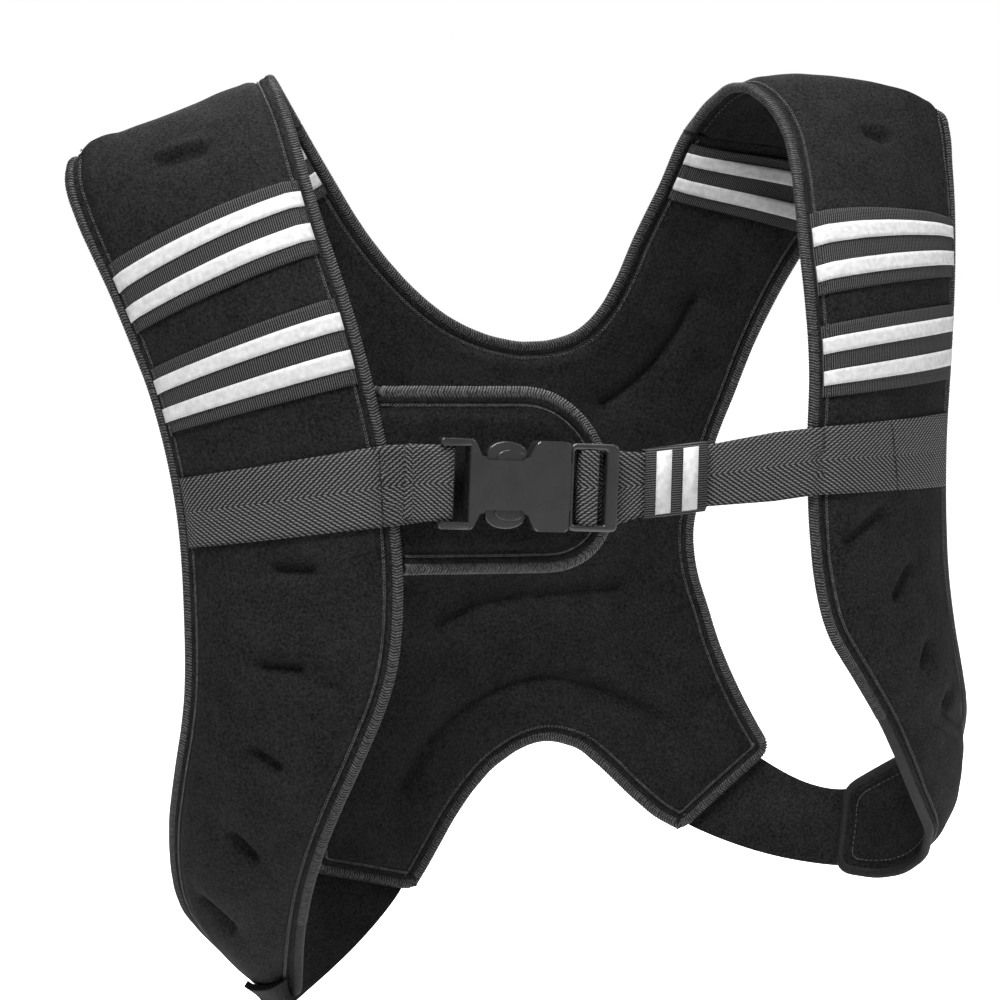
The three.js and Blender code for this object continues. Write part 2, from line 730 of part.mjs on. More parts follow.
// Ribbon of webbing through stations, each a line of points across it with their normals
function ribbonSolid(lines) {
  const half = WEBBING_THICKNESS / 2;
  const layer = (height) => lines.map(({ points, normals }) => (
    points.map((point, k) => moved(point, normals[k], height))
  ));
  const outside = layer(half);
  const inside = layer(-half);
  return sheetSolid(outside, inside);
}

// The webbing's lines where it lies on a front panel, from the outer to the inner edge, high
// enough at the inner edge to pass over the edging
function webbingOnPanel(panel) {
  const indexes = panel.side.webbing.map((t) => rowIndex(panel.rows, t));
  const columns = panel.middle[0].length;
  const clear = EDGING_RADIUS + FIT_GAP;
  return Array.from({ length: columns }, (_, k) => {
    const column = columns - 1 - k;
    const normals = indexes.map((i) => panel.normals[i][column]);
    const points = indexes.map((i) => {
      const base = panel.outside[i][column];
      const height = panel.half(panel.middle[i][column]);
      const lift = column < columns / 2 ? Math.max(clear - height, 0) : 0;
      return moved(base, panel.normals[i][column], lift + FIT_GAP + WEBBING_THICKNESS / 2);
    });
    return { points, normals };
  });
}

function overEdging(panel) {
  const indexes = panel.side.webbing.map((t) => rowIndex(panel.rows, t));
  const normals = indexes.map((i) => panel.normals[i][0]);
  const rise = EDGING_RADIUS + 2 * FIT_GAP + WEBBING_THICKNESS / 2;
  const points = indexes.map((i) => {
    const out = towardsInner(panel.middle[i]).normalize();
    return moved(moved(panel.middle[i][0], out, EDGING_BAND), panel.normals[i][0], rise);
  });
  return { points, normals };
}

function straightLine(centre, acrossHalf, normal) {
  const shares = Array.from({ length: WEBBING_LINES }, (_, k) => 1 - (2 * k) / (WEBBING_LINES - 1));
  return {
    points: shares.map((share) => moved(centre, acrossHalf, share)),
    normals: shares.map(() => normal),
  };
}

// Turned frame of the buckle: along the strap to the right, back through it, and up across it
class BuckleFrame {
  constructor(leftEdge, rightEdge) {
    this.centre = lerp(leftEdge, rightEdge, BUCKLE_SHARE);
    this.centre.add(new THREE.Vector3(0, -BUCKLE_STANDOFF, -BUCKLE_SAG));
    const turn = THREE.MathUtils.degToRad(BUCKLE_TURN);
    this.along = new THREE.Vector3(Math.cos(turn), 0, -Math.sin(turn));
    this.through = new THREE.Vector3(0, 1, 0);
    this.across = new THREE.Vector3(Math.sin(turn), 0, Math.cos(turn));
  }

  point(x, y, z = 0) {
    return moved(moved(moved(this.centre, this.along, x), this.through, y), this.across, z);
  }

  // Lines of webbing along a path of [x, y] places, its normals turned from the way it goes
  pathLines(path, sign, halfWidth) {
    return path.map((place, k) => {
      const before = path[Math.max(k - 1, 0)];
      const after = path[Math.min(k + 1, path.length - 1)];
      const way = new THREE.Vector2(after[0] - before[0], after[1] - before[1]).normalize();
      const normal = new THREE.Vector3()
        .addScaledVector(this.along, sign * way.y)
        .addScaledVector(this.through, -sign * way.x);
      const centre = this.point(place[0], place[1]);
      return straightLine(centre, this.across.clone().multiplyScalar(halfWidth), normal);
    });
  }

  // Places a shape drawn in the strap's plane, extruded through the strap
  geometry(shape, depth) {
    const geometry = new THREE.ExtrudeGeometry(shape, { depth, bevelEnabled: false, curveSegments: 6 });
    geometry.translate(0, 0, -depth / 2);
    const basis = new THREE.Matrix4().makeBasis(this.along, this.across, this.through.clone().negate());
    return geometry.applyMatrix4(basis.setPosition(this.centre));
  }

  box(x0, x1, y0, y1, halfHeight) {
    const geometry = new THREE.BoxGeometry(x1 - x0, 2 * halfHeight, y1 - y0);
    geometry.translate((x0 + x1) / 2, 0, -(y0 + y1) / 2);
    const basis = new THREE.Matrix4().makeBasis(this.along, this.across, this.through.clone().negate());
    return geometry.applyMatrix4(basis.setPosition(this.centre));
  }
}

const wasm = await Module();
wasm.setup();

function toManifold(geometry) {
  const bare = geometry.clone();
  bare.deleteAttribute('normal');
  bare.deleteAttribute('uv');
  const merged = mergeVertices(bare, 1e-4);
  return new wasm.Manifold(new wasm.Mesh({
    numProp: 3,
    vertProperties: new Float32Array(merged.attributes.position.array),
    triVerts: new Uint32Array(merged.index.array),
  }));
}

function fromManifold(solid) {
  const mesh = solid.getMesh();
  const geometry = new THREE.BufferGeometry();
  geometry.setAttribute('position', new THREE.BufferAttribute(mesh.vertProperties, 3));
  geometry.setIndex(new THREE.BufferAttribute(mesh.triVerts, 1));
  return geometry;
}

function polygon(points) {
  return new THREE.Shape(points.map(([x, z]) => new THREE.Vector2(x, z)));
}

function mirroredOutline(points) {
  return polygon([...points, ...points.map(([x, z]) => [x, -z]).reverse()]);
}

// Places along the buckle that its two halves and the webbing share
const buckle = (() => {
  const slotHalf = WEBBING_WIDTH / 2 + 2 * FIT_GAP;
  const half = slotHalf + BUCKLE_WALL;
  const mouth = BODY_LENGTH / 2 - 3.7;
  const bodyStart = mouth - BODY_LENGTH;
  const barEnd = bodyStart - LOOP_SLOT;
  const barStart = barEnd - LOOP_BAR;
  const firstSlot = mouth + FIT_GAP + MALE_SHOULDER;
  const barLeft = firstSlot + LADDER_SLOT;
  const barRight = barLeft + LADDER_BAR;
  const endBar = barRight + LADDER_SLOT;
  return {
    slotHalf, half, mouth, bodyStart, barStart, barEnd, firstSlot, barLeft, barRight, endBar,
    left: barStart - BUCKLE_WALL,
    right: endBar + END_BAR,
    notchStart: bodyStart + NOTCH_INSET,
    notchEnd: bodyStart + NOTCH_INSET + NOTCH_LENGTH,
  };
})();

function femaleBuckle(frame) {
  const { half, slotHalf, mouth, bodyStart, barStart, barEnd, left, notchStart, notchEnd } = buckle;
  const floor = half - NOTCH_DEPTH;
  const body = frame.geometry(mirroredOutline([
    [bodyStart, half], [notchStart, half], [notchStart + NOTCH_SLOPE, floor],
    [notchEnd - NOTCH_SLOPE, floor], [notchEnd, half], [mouth, half],
  ]), BUCKLE_DEPTH);
  const armOutline = mirroredOutline([[left, half], [bodyStart + BUCKLE_WALL, half]]);
  const arms = toManifold(frame.geometry(armOutline, FRAME_DEPTH));
  const slots = [
    frame.box(left - 1, barStart, -FRAME_DEPTH, FRAME_DEPTH, slotHalf),
    frame.box(barEnd, bodyStart, -FRAME_DEPTH, FRAME_DEPTH, slotHalf),
    frame.box(barStart - 1, barEnd + 1, -FRAME_DEPTH, -LOOP_BAR / 2, slotHalf),
    frame.box(barStart - 1, barEnd + 1, LOOP_BAR / 2, FRAME_DEPTH, slotHalf),
  ].map(toManifold);
  const pocketHalf = FRAME_DEPTH / 2 + FIT_GAP;
  const pocket = toManifold(
    frame.box(bodyStart + BUCKLE_WALL, mouth + 1, -pocketHalf, pocketHalf, half - BUCKLE_WALL),
  );
  const open = slots.reduce((solid, slot) => solid.subtract(slot), arms);
  return fromManifold(toManifold(body).add(open).subtract(pocket));
}

function maleBuckle(frame) {
  const { half, slotHalf, mouth, firstSlot, barLeft, barRight, endBar, right, notchStart, notchEnd } = buckle;
  const inner = half - BUCKLE_WALL - FIT_GAP;
  const tip = mouth - PRONG_REACH;
  const bulgeStart = notchStart + NOTCH_SLOPE + 2;
  const bulgeEnd = notchEnd - NOTCH_SLOPE - 1;
  const bulge = half - 1.5;
  const root = mouth - 6;
  const prong = inner - PRONG_HEIGHT;
  const outline = mirroredOutline([
    [tip, TONGUE_HEIGHT / 2], [root, TONGUE_HEIGHT / 2], [root, prong], [bulgeEnd, prong], [tip, prong],
    [tip, inner], [bulgeStart, bulge], [bulgeEnd - 2, bulge], [bulgeEnd, inner],
    [mouth + FIT_GAP, inner], [mouth + FIT_GAP, half], [right, half],
  ]);
  const blank = toManifold(frame.geometry(outline, FRAME_DEPTH));
  const cuts = [
    frame.box(firstSlot, barLeft, -FRAME_DEPTH, FRAME_DEPTH, slotHalf),
    frame.box(barRight, endBar, -FRAME_DEPTH, FRAME_DEPTH, slotHalf),
    frame.box(barLeft - 1, barRight + 1, -FRAME_DEPTH, -LADDER_BAR_DEPTH / 2, slotHalf),
    frame.box(barLeft - 1, barRight + 1, LADDER_BAR_DEPTH / 2, FRAME_DEPTH, slotHalf),
  ].map(toManifold);
  return fromManifold(cuts.reduce((solid, cut) => solid.subtract(cut), blank));
}

// Left webbing: across the panel, over its edging and round the bar of the buckle's socket
function leftWebbing(panel, frame) {
  const bar = (buckle.barStart + buckle.barEnd) / 2;
  const ring = LOOP_BAR * Math.SQRT1_2 + FIT_GAP + WEBBING_THICKNESS / 2;
  const path = [[bar - 8, -ring]];
  for (const angle of [-90, -45, 0, 45, 90]) {
    const turn = THREE.MathUtils.degToRad(angle);
    path.push([bar + ring * Math.cos(turn), ring * Math.sin(turn)]);
  }
  path.push([bar - LOOP_RETURN / 2, ring], [bar - LOOP_RETURN, ring - 0.4]);
  return ribbonSolid([
    ...webbingOnPanel(panel),
    overEdging(panel),
    ...frame.pathLines(path, 1, WEBBING_WIDTH / 2),
  ]);
}

// Depths of the two layers of webbing behind the ladder frame
const tailLayer = FRAME_DEPTH / 2 + FIT_GAP + WEBBING_THICKNESS / 2;
const loadLayer = tailLayer + WEBBING_THICKNESS + FIT_GAP + 0.2;

// Span of the right webbing between the ladder frame and the right panel
class RightSpan {
  constructor(panel, frame) {
    this.frame = frame;
    const edge = overEdging(panel);
    this.start = frame.point(buckle.right + 1, loadLayer);
    this.end = lerp(edge.points[0], edge.points.at(-1), 0.5);
    this.acrossStart = frame.across.clone().multiplyScalar(WEBBING_WIDTH / 2);
    this.acrossEnd = between(edge.points.at(-1), edge.points[0]).multiplyScalar(0.5);
    const length = this.start.distanceTo(this.end);
    this.keeperHalf = KEEPER_LENGTH / 2 / length;
    this.lineTo = between(this.start, this.end).normalize();
  }

  centre(share) {
    return lerp(this.start, this.end, share);
  }

  acrossHalf(share) {
    const mixed = lerp(this.acrossStart, this.acrossEnd, share);
    const nearKeeper = Math.exp(-(((share - KEEPER_SHARE) / (2 * this.keeperHalf)) ** 4));
    return mixed.multiplyScalar(1 - (1 - KEEPER_NARROWING) * nearKeeper);
  }

  normal(share) {
    return crossed(this.acrossHalf(share), this.lineTo).negate();
  }

  line(share, forward) {
    const normal = this.normal(share);
    return straightLine(moved(this.centre(share), normal, forward), this.acrossHalf(share), normal);
  }
}

function rightWebbing(panel, frame, span) {
  const { firstSlot, barLeft, barRight, endBar } = buckle;
  const over = -(LADDER_BAR_DEPTH / 2 + FIT_GAP + WEBBING_THICKNESS / 2);
  const slotB = barLeft - FIT_GAP - WEBBING_THICKNESS / 2 - 0.3;
  const slotA = barRight + FIT_GAP + WEBBING_THICKNESS / 2 + 0.3;
  const path = [
    [endBar, loadLayer], [barLeft + 3, loadLayer], [slotB + 0.7, loadLayer - 1.3], [slotB, tailLayer - 1.5],
    [slotB, -0.4], [slotB + 0.8, over + 0.3], [barLeft + 1.5, over], [barRight - 1.5, over],
    [slotA - 0.8, over + 0.3], [slotA, -0.4], [slotA + 0.2, tailLayer - 2], [slotA + 1.6, tailLayer - 0.2],
    [endBar + 1, tailLayer], [buckle.right + 1, tailLayer],
  ];
  const keeperEnd = KEEPER_SHARE + span.keeperHalf;
  const shares = [0.94, 0.8, keeperEnd + 0.06, keeperEnd, KEEPER_SHARE, KEEPER_SHARE - span.keeperHalf, 0];
  const spacing = loadLayer - tailLayer;
  return ribbonSolid([
    ...webbingOnPanel(panel),
    overEdging(panel),
    ...shares.map((share) => span.line(share, 0)),
    ...frame.pathLines(path, -1, WEBBING_WIDTH / 2),
    ...[KEEPER_SHARE - span.keeperHalf, KEEPER_SHARE].map((share) => {
      const { points, normals } = span.line(share, spacing);
      return { points, normals: normals.map((normal) => normal.clone().negate()) };
    }),
  ]);
}

// Keeper: a sewn loop of tape round both layers, with two reflective strips across its front
function keeperFrame(span) {
  const across = span.acrossHalf(KEEPER_SHARE);
  const normal = span.normal(KEEPER_SHARE);
  const middle = moved(span.centre(KEEPER_SHARE), normal, (loadLayer - tailLayer) / 2);
  const halfHeight = across.length() + 3 * FIT_GAP;
  const halfDepth = (loadLayer - tailLayer + WEBBING_THICKNESS) / 2 + 3 * FIT_GAP;
  return { across: across.normalize(), normal, middle, halfHeight, halfDepth, along: span.lineTo };
}

function keeperRing({ across, normal, middle, halfHeight, halfDepth }, offset, grow) {
  const corners = [];
  const height = halfHeight + grow;
  const depth = halfDepth + grow;
  const cut = Math.min(1 + grow, depth * 0.7);
  const outline = [
    [height - cut, depth], [height, depth - cut], [height, cut - depth], [height - cut, -depth],
    [cut - height, -depth], [-height, cut - depth], [-height, depth - cut], [cut - height, depth],
  ];
  for (const [a, n] of outline) corners.push(moved(moved(middle, across, a), normal, n).add(offset));
  return [...corners, corners[0]];
}

function keeperSolid(frame) {
  const ends = [-0.5, 0.5].map((share) => frame.along.clone().multiplyScalar(share * KEEPER_LENGTH));
  const [outerA, outerB] = ends.map((offset) => keeperRing(frame, offset, KEEPER_WALL));
  const [innerA, innerB] = ends.map((offset) => keeperRing(frame, offset, 0));
  const skin = new Skin();
  skin.band(outerA, outerB, false);
  skin.band(innerA, innerB, true);
  skin.band(outerA, innerA, true);
  skin.band(outerB, innerB, false);
  return skin.geometry();
}

function keeperStrip(frame, place) {
  const { across, normal, middle, halfHeight, halfDepth, along } = frame;
  const centre = moved(middle, along, place);
  const base = halfDepth + KEEPER_WALL + FIT_GAP;
  const half = halfHeight + KEEPER_WALL - 1.8;
  const grid = (height) => [-1, 1].map((end) => [-1, 1].map((side) => (
    moved(moved(moved(centre, along, (side * STRIP_WIDTH) / 2), across, end * half), normal, height)
  )));
  return sheetSolid(grid(base + STRIP_THICKNESS), grid(base));
}

// Pad behind the buckle, sewn under the left panel's inner edge, with a rounded free end. Each
// of its lines starts under its own row of the panel.
class Flap {
  constructor(panel) {
    this.shares = [1, 1 - FLAP_SEW / FLAP_HEIGHT, 0, FLAP_SEW / FLAP_HEIGHT - 1, -1];
    const seat = panel.strip.at('webbing');
    this.curves = this.shares.map((share) => (
      this.lineFrom(panel, panel.strip.reach(seat, (-share * FLAP_HEIGHT) / 2))
    ));
    this.length = this.curves[2].getLength();
    this.exposed = FLAP_TUCK + EDGING_BAND;
    this.build();
  }

  lineFrom({ strip, rows, middle, normals }, t) {
    const edge = strip.innerAt(t);
    const normal = normals[rowIndex(rows, t)][0];
    const out = towardsInner(middle[rowIndex(rows, t)]).normalize();
    const sunk = (distance, extra) => {
      const depth = Math.max(rimHalf(Math.max(distance, 0)), EDGING_RADIUS) + extra + FLAP_THICKNESS / 2;
      return moved(moved(edge, out, -distance), normal, -depth);
    };
    const entry = sunk(-EDGING_BAND, 2 * FIT_GAP);
    const run = (share, depth) => new THREE.Vector3(
      entry.x + share * FLAP_LENGTH,
      -depth * CHEST_DEPTH,
      entry.z - share * FLAP_SLOPE,
    );
    return smoothCurve([
      sunk(FLAP_TUCK, 1.4), sunk(FLAP_TUCK / 2, 1.1), sunk(0, 0.9), entry,
      run(0.3, 0.995), run(0.65, 0.985), run(1, 0.95),
    ]);
  }

  halfHeight(distance) {
    const half = FLAP_HEIGHT / 2;
    const x = THREE.MathUtils.clamp(distance - this.length + FLAP_CORNER, 0, FLAP_CORNER);
    return half - FLAP_CORNER + Math.sqrt(FLAP_CORNER * FLAP_CORNER - x * x);
  }

  build() {
    const start = this.length - FLAP_CORNER;
    const straight = Array.from({ length: 4 }, (_, k) => THREE.MathUtils.lerp(this.exposed, start, k / 3));
    const round = [15, 32, 48, 64, 78, 90].map((angle) => (
      start + FLAP_CORNER * Math.sin(THREE.MathUtils.degToRad(angle))
    ));
    this.stations = [0, FLAP_TUCK / 2, FLAP_TUCK, ...straight, ...round];
    this.lines = this.stations.map((distance) => {
      const along = Math.min(distance / this.length, 1);
      const closing = this.halfHeight(distance) / (FLAP_HEIGHT / 2);
      const centre = this.curves[2].getPointAt(along);
      const points = this.curves.map((curve) => lerp(centre, curve.getPointAt(along), closing));
      const way = this.curves[2].getTangentAt(along);
      const across = between(points[4], points[0]);
      const normals = this.curves.map((curve) => crossed(curve.getTangentAt(along), across));
      return { points, normals, way };
    });
  }

  solid() {
    const offset = (sign) => this.lines.map(({ points, normals }, i) => points.map((point, k) => {
      const rim = k === 0 || k === points.length - 1 || i === this.lines.length - 1;
      return moved(point, normals[k], (sign * (rim ? FLAP_RIM : FLAP_THICKNESS)) / 2);
    }));
    return sheetSolid(offset(1), offset(-1));
  }

  edging() {
    const first = this.stations.findIndex((distance) => distance >= this.exposed - 1e-6);
    const edge = (sign) => this.lines.slice(first).map(({ points, normals, way }, i) => {
      const turned = Math.max(this.stations[first + i] - this.length + FLAP_CORNER, 0) / FLAP_CORNER;
      const angle = Math.asin(Math.min(turned, 1));
      const out = way.clone().multiplyScalar(Math.sin(angle)).addScaledVector(up, sign * Math.cos(angle));
      const side = sign > 0 ? 0 : points.length - 1;
      return { point: points[side], out, normal: normals[side] };
    });
    return beadSolid([...edge(1), ...edge(-1).reverse()], FLAP_EDGING_GAP);
  }
}

// Elastic strap from the hem of a front panel to the end of a leg of the back, sewn on the
// outer face of both
function sideStrap(panel, half) {
  const lift = FIT_GAP + SIDE_STRAP_EASE + SIDE_STRAP_THICKNESS / 2;
  const beadTop = EDGING_RADIUS + lift;
  const columns = [0, 1, 2, 5, 6];
  const seat = ({ middle, normals, outside }, end, inside) => {
    const away = between(rowCentre(middle[inside]), rowCentre(middle[end])).normalize();
    const laid = (row, height, distance) => columns.map((j) => ({
      point: moved(moved(row[j], normals[end][j], height), away, distance),
      normal: normals[end][j],
    }));
    return [
      laid(outside[inside], lift, 0),
      laid(middle[end], beadTop, 0),
      laid(middle[end], beadTop, EDGING_BAND + FIT_GAP),
    ];
  };
  const last = panel.middle.length - 1;
  const hem = seat(panel, last, rowIndex(panel.rows, panel.side.hemSewn));
  const leg = seat(half, 0, rowIndex(half.rows, half.side.legSewn)).reverse();
  const middle = [0.33, 0.67].map((share) => columns.map((_, k) => {
    const normal = lerp(hem[2][k].normal, leg[0][k].normal, share).normalize();
    const sag = SIDE_STRAP_SAG * 4 * share * (1 - share);
    return { point: moved(lerp(hem[2][k].point, leg[0][k].point, share), up, -sag), normal };
  }));
  const lines = [...hem, ...middle, ...leg];
  const grid = (sign) => lines.map((line) => line.map(({ point, normal }) => (
    moved(point, normal, (sign * SIDE_STRAP_THICKNESS) / 2)
  )));
  return sheetSolid(grid(1), grid(-1));
}

const finishes = {
  neoprene: new THREE.MeshStandardMaterial({ color: 0x141415, roughness: 0.92, metalness: 0 }),
  edging: new THREE.MeshStandardMaterial({ color: 0x222224, roughness: 0.8, metalness: 0 }),
  tape: new THREE.MeshStandardMaterial({ color: 0x2c2c2e, roughness: 0.8, metalness: 0 }),
  reflective: new THREE.MeshStandardMaterial({ color: 0xf2f2f2, roughness: 0.5, metalness: 0 }),
  webbing: new THREE.MeshStandardMaterial({ color: 0x262628, roughness: 0.75, metalness: 0 }),
  plastic: new THREE.MeshStandardMaterial({ color: 0x1c1c1d, roughness: 0.4, metalness: 0 }),
};

const vest = new THREE.Group();

function addPiece(name, geometry, finish) {
  const mesh = new THREE.Mesh(geometry, finish);
  mesh.name = name;
  vest.add(mesh);
}

function addTape(name, grid, normals, rows, marks, lift) {
  const whole = rowsBetween(rows, marks[0], marks.at(-1));
  const tape = laidSheet(pick(grid, whole), pick(normals, whole), FIT_GAP, TAPE_THICKNESS);
  addPiece(`${name}_tape`, tape, finishes.tape);
  [[1, 2], [3, 4]].forEach(([from, to], k) => {
    const strip = rowsBetween(rows, marks[from], marks[to]);
    const laid = laidSheet(pick(grid, strip), pick(normals, strip), lift, STRIP_THICKNESS);
    addPiece(`${name}_strip_${k + 1}`, laid, finishes.reflective);
  });
}

const stripLift = 2 * FIT_GAP + TAPE_THICKNESS;
const strips = { left: new Strip(-1, LEFT_SECTIONS), right: new Strip(1, RIGHT_SECTIONS) };
strips.left.joinInner(strips.right);
strips.right.joinInner(strips.left);
const sides = {
  left: new Side(-1, strips.left, LEFT_DENTS),
  right: new Side(1, strips.right, RIGHT_DENTS),
};
sides.left.shareCentre(sides.right);
const fronts = { left: frontPanel(sides.left), right: frontPanel(sides.right) };
const back = new BackPanel(sides);

addPiece('back_panel', back.geometry(), finishes.neoprene);
addPiece('neck_edging', back.neckEdging(), finishes.edging);
addPiece('arch_edging', back.archEdging(), finishes.edging);

for (const [name, panel] of Object.entries(fronts)) {
  const half = back.halves[name];
  addPiece(`front_panel_${name}`, sheetSolid(panel.outside, panel.inside), finishes.neoprene);
  addPiece(`front_edging_${name}`, frontEdging(panel), finishes.edging);
  addPiece(`arm_edging_${name}`, back.armEdging(half), finishes.edging);
  const { upperTape, lowerTape, innerTape } = sides[name];
  addTape(`upper_${name}`, panel.outside, panel.normals, panel.rows, upperTape, stripLift);
  addTape(`lower_${name}`, panel.outside, panel.normals, panel.rows, lowerTape, stripLift);
  const inward = half.normals.map((row) => row.map((normal) => normal.clone().negate()));
  addTape(`inner_${name}`, half.inside, inward, half.rows, innerTape, stripLift);
  addPiece(`side_strap_${name}`, sideStrap(panel, half), finishes.neoprene);
}

const webbingRow = (panel) => panel.middle[rowIndex(panel.rows, panel.strip.at('webbing'))][0];
const frame = new BuckleFrame(webbingRow(fronts.left), webbingRow(fronts.right));
const span = new RightSpan(fronts.right, frame);
addPiece('chest_webbing_left', leftWebbing(fronts.left, frame), finishes.webbing);
addPiece('chest_webbing_right', rightWebbing(fronts.right, frame, span), finishes.webbing);
addPiece('buckle_socket', femaleBuckle(frame), finishes.plastic);
addPiece('buckle_prongs', maleBuckle(frame), finishes.plastic);

const keeper = keeperFrame(span);
addPiece('keeper_loop', keeperSolid(keeper), finishes.tape);
[-1, 1].forEach((sign, k) => {
  addPiece(`keeper_strip_${k + 1}`, keeperStrip(keeper, (sign * STRIP_PITCH) / 2.4), finishes.reflective);
});

const flap = new Flap(fronts.left);
addPiece('buckle_flap', flap.solid(), finishes.neoprene);
addPiece('flap_edging', flap.edging(), finishes.edging);

export default vest;
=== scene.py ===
"""Looks of a padded running vest with fixed weights: panels, bound edges, tapes, webbing, buckle."""

from __future__ import annotations

import json
import logging
import math
from dataclasses import dataclass
from enum import Enum

import bmesh
import bpy
import numpy as np
from mathutils import Matrix, Vector, noise
from mathutils.bvhtree import BVHTree

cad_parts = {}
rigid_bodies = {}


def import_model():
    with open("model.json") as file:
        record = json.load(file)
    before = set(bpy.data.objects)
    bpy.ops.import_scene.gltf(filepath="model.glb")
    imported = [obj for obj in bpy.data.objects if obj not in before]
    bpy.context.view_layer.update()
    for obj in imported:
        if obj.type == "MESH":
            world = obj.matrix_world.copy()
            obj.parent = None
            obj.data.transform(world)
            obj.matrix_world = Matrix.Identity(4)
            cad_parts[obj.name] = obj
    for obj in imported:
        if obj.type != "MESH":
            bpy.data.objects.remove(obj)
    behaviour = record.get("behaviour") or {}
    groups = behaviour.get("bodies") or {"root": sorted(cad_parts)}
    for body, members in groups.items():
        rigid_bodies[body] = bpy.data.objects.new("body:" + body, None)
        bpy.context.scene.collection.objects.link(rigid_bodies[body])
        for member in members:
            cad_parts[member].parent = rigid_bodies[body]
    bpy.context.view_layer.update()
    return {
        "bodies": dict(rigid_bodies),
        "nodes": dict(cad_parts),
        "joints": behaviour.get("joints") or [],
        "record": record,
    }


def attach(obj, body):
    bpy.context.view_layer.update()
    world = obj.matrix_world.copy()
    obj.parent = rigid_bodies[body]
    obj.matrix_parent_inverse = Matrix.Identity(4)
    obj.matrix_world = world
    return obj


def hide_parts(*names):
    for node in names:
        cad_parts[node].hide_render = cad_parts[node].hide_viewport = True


log = logging.getLogger("vest")
MM = 0.001
SIDES = ("left", "right")
SHARP = math.radians(25)
END_REACH = 2.6


class Face(Enum):
    """Which face of a panel: away from the wearer or towards them."""

    OUTER = 1
    INNER = -1


@dataclass(frozen=True)
class PhotoView:
    """Camera of the photograph, and rays through its picture."""

    azimuth: float = -15.0
    elevation: float = 4.0
    roll: float = 4.5
    distance: float = 1.5
    focal: float = 2850.0
    frame: float = 1000.0
    target: tuple[float, float, float] = (-0.030, 0.0, -0.210)

    def basis(self) -> Matrix:
        """Returns the camera's right, up and back directions as the columns of a matrix."""
        a, e, r = (math.radians(v) for v in (self.azimuth, self.elevation, self.roll))
        back = Vector((math.sin(a) * math.cos(e), -math.cos(a) * math.cos(e), math.sin(e)))
        level = Vector((0, 0, 1)).cross(back).normalized()
        rise = back.cross(level)
        right = level * math.cos(r) - rise * math.sin(r)
        up = level * math.sin(r) + rise * math.cos(r)
        return Matrix((right, up, back)).transposed()

    def place(self) -> Vector:
        """Returns the camera's position."""
        return Vector(self.target) + self.basis().col[2] * self.distance

    def ray(self, x: float, y: float) -> tuple[Vector, Vector]:
        """Returns where a ray through a pixel of the picture starts and its direction."""
        half = self.frame / 2
        way = self.basis() @ Vector((x - half, half - y, -self.focal))
        return self.place(), way.normalized()

    def make_camera(self) -> bpy.types.Object:
        """Makes the scene's camera.

        Returns:
            The camera object.
        """
        data = bpy.data.cameras.new("camera")
        data.sensor_width = 36.0
        data.lens = 36.0 * self.focal / self.frame
        camera = bpy.data.objects.new("camera", data)
        camera.matrix_world = Matrix.Translation(self.place()) @ self.basis().to_4x4()
        bpy.context.collection.objects.link(camera)
        bpy.context.scene.camera = camera
        return camera


@dataclass(frozen=True)
class Dent:
    """A bar tack that pulls the padding in. Place, length and turn are the photograph's."""

    x: float
    y: float
    length: float
    turn: float
    depth: float
    spread: float
    slot: bool = True
    lip: float = 0.2


LEFT_DENTS = (
    Dent(182, 154, 54, -16, 2.4, 9.0, True, 0.75),
    Dent(283, 459, 58, -9, 1.6, 9.0, False),
    Dent(292, 571, 46, 0, 3.4, 8.0),
    Dent(278, 669, 52, 1, 3.4, 8.0),
    Dent(333, 689, 28, 12, 1.6, 6.0),
    Dent(263, 762, 40, 28, 3.6, 8.0),
    Dent(240, 850, 42, 46, 3.6, 8.0),
    Dent(216, 915, 52, 54, 2.6, 8.0),
)
RIGHT_DENTS = (
    Dent(878, 134, 34, 4, 2.6, 7.0, True, 0.4),
    Dent(907, 312, 66, -8, 1.4, 8.0, False),
    Dent(905, 406, 50, -8, 1.4, 8.0, False),
    Dent(868, 527, 66, -28, 3.0, 8.0),
    Dent(906, 583, 48, -36, 3.2, 7.5),
    Dent(929, 655, 34, -52, 2.6, 7.0),
    Dent(948, 700, 24, -60, 2.0, 6.0),
)

# Seams sewn through the back, along pixels of the photograph
BACK_SEAMS = (
    ((405, 790), (430, 745), (465, 712), (500, 690), (548, 677), (600, 690), (640, 706), (665, 722)),
    ((443, 625), (480, 605), (520, 598), (560, 595), (622, 590)),
    ((605, 405), (635, 384), (660, 360), (682, 328), (697, 300)),
)


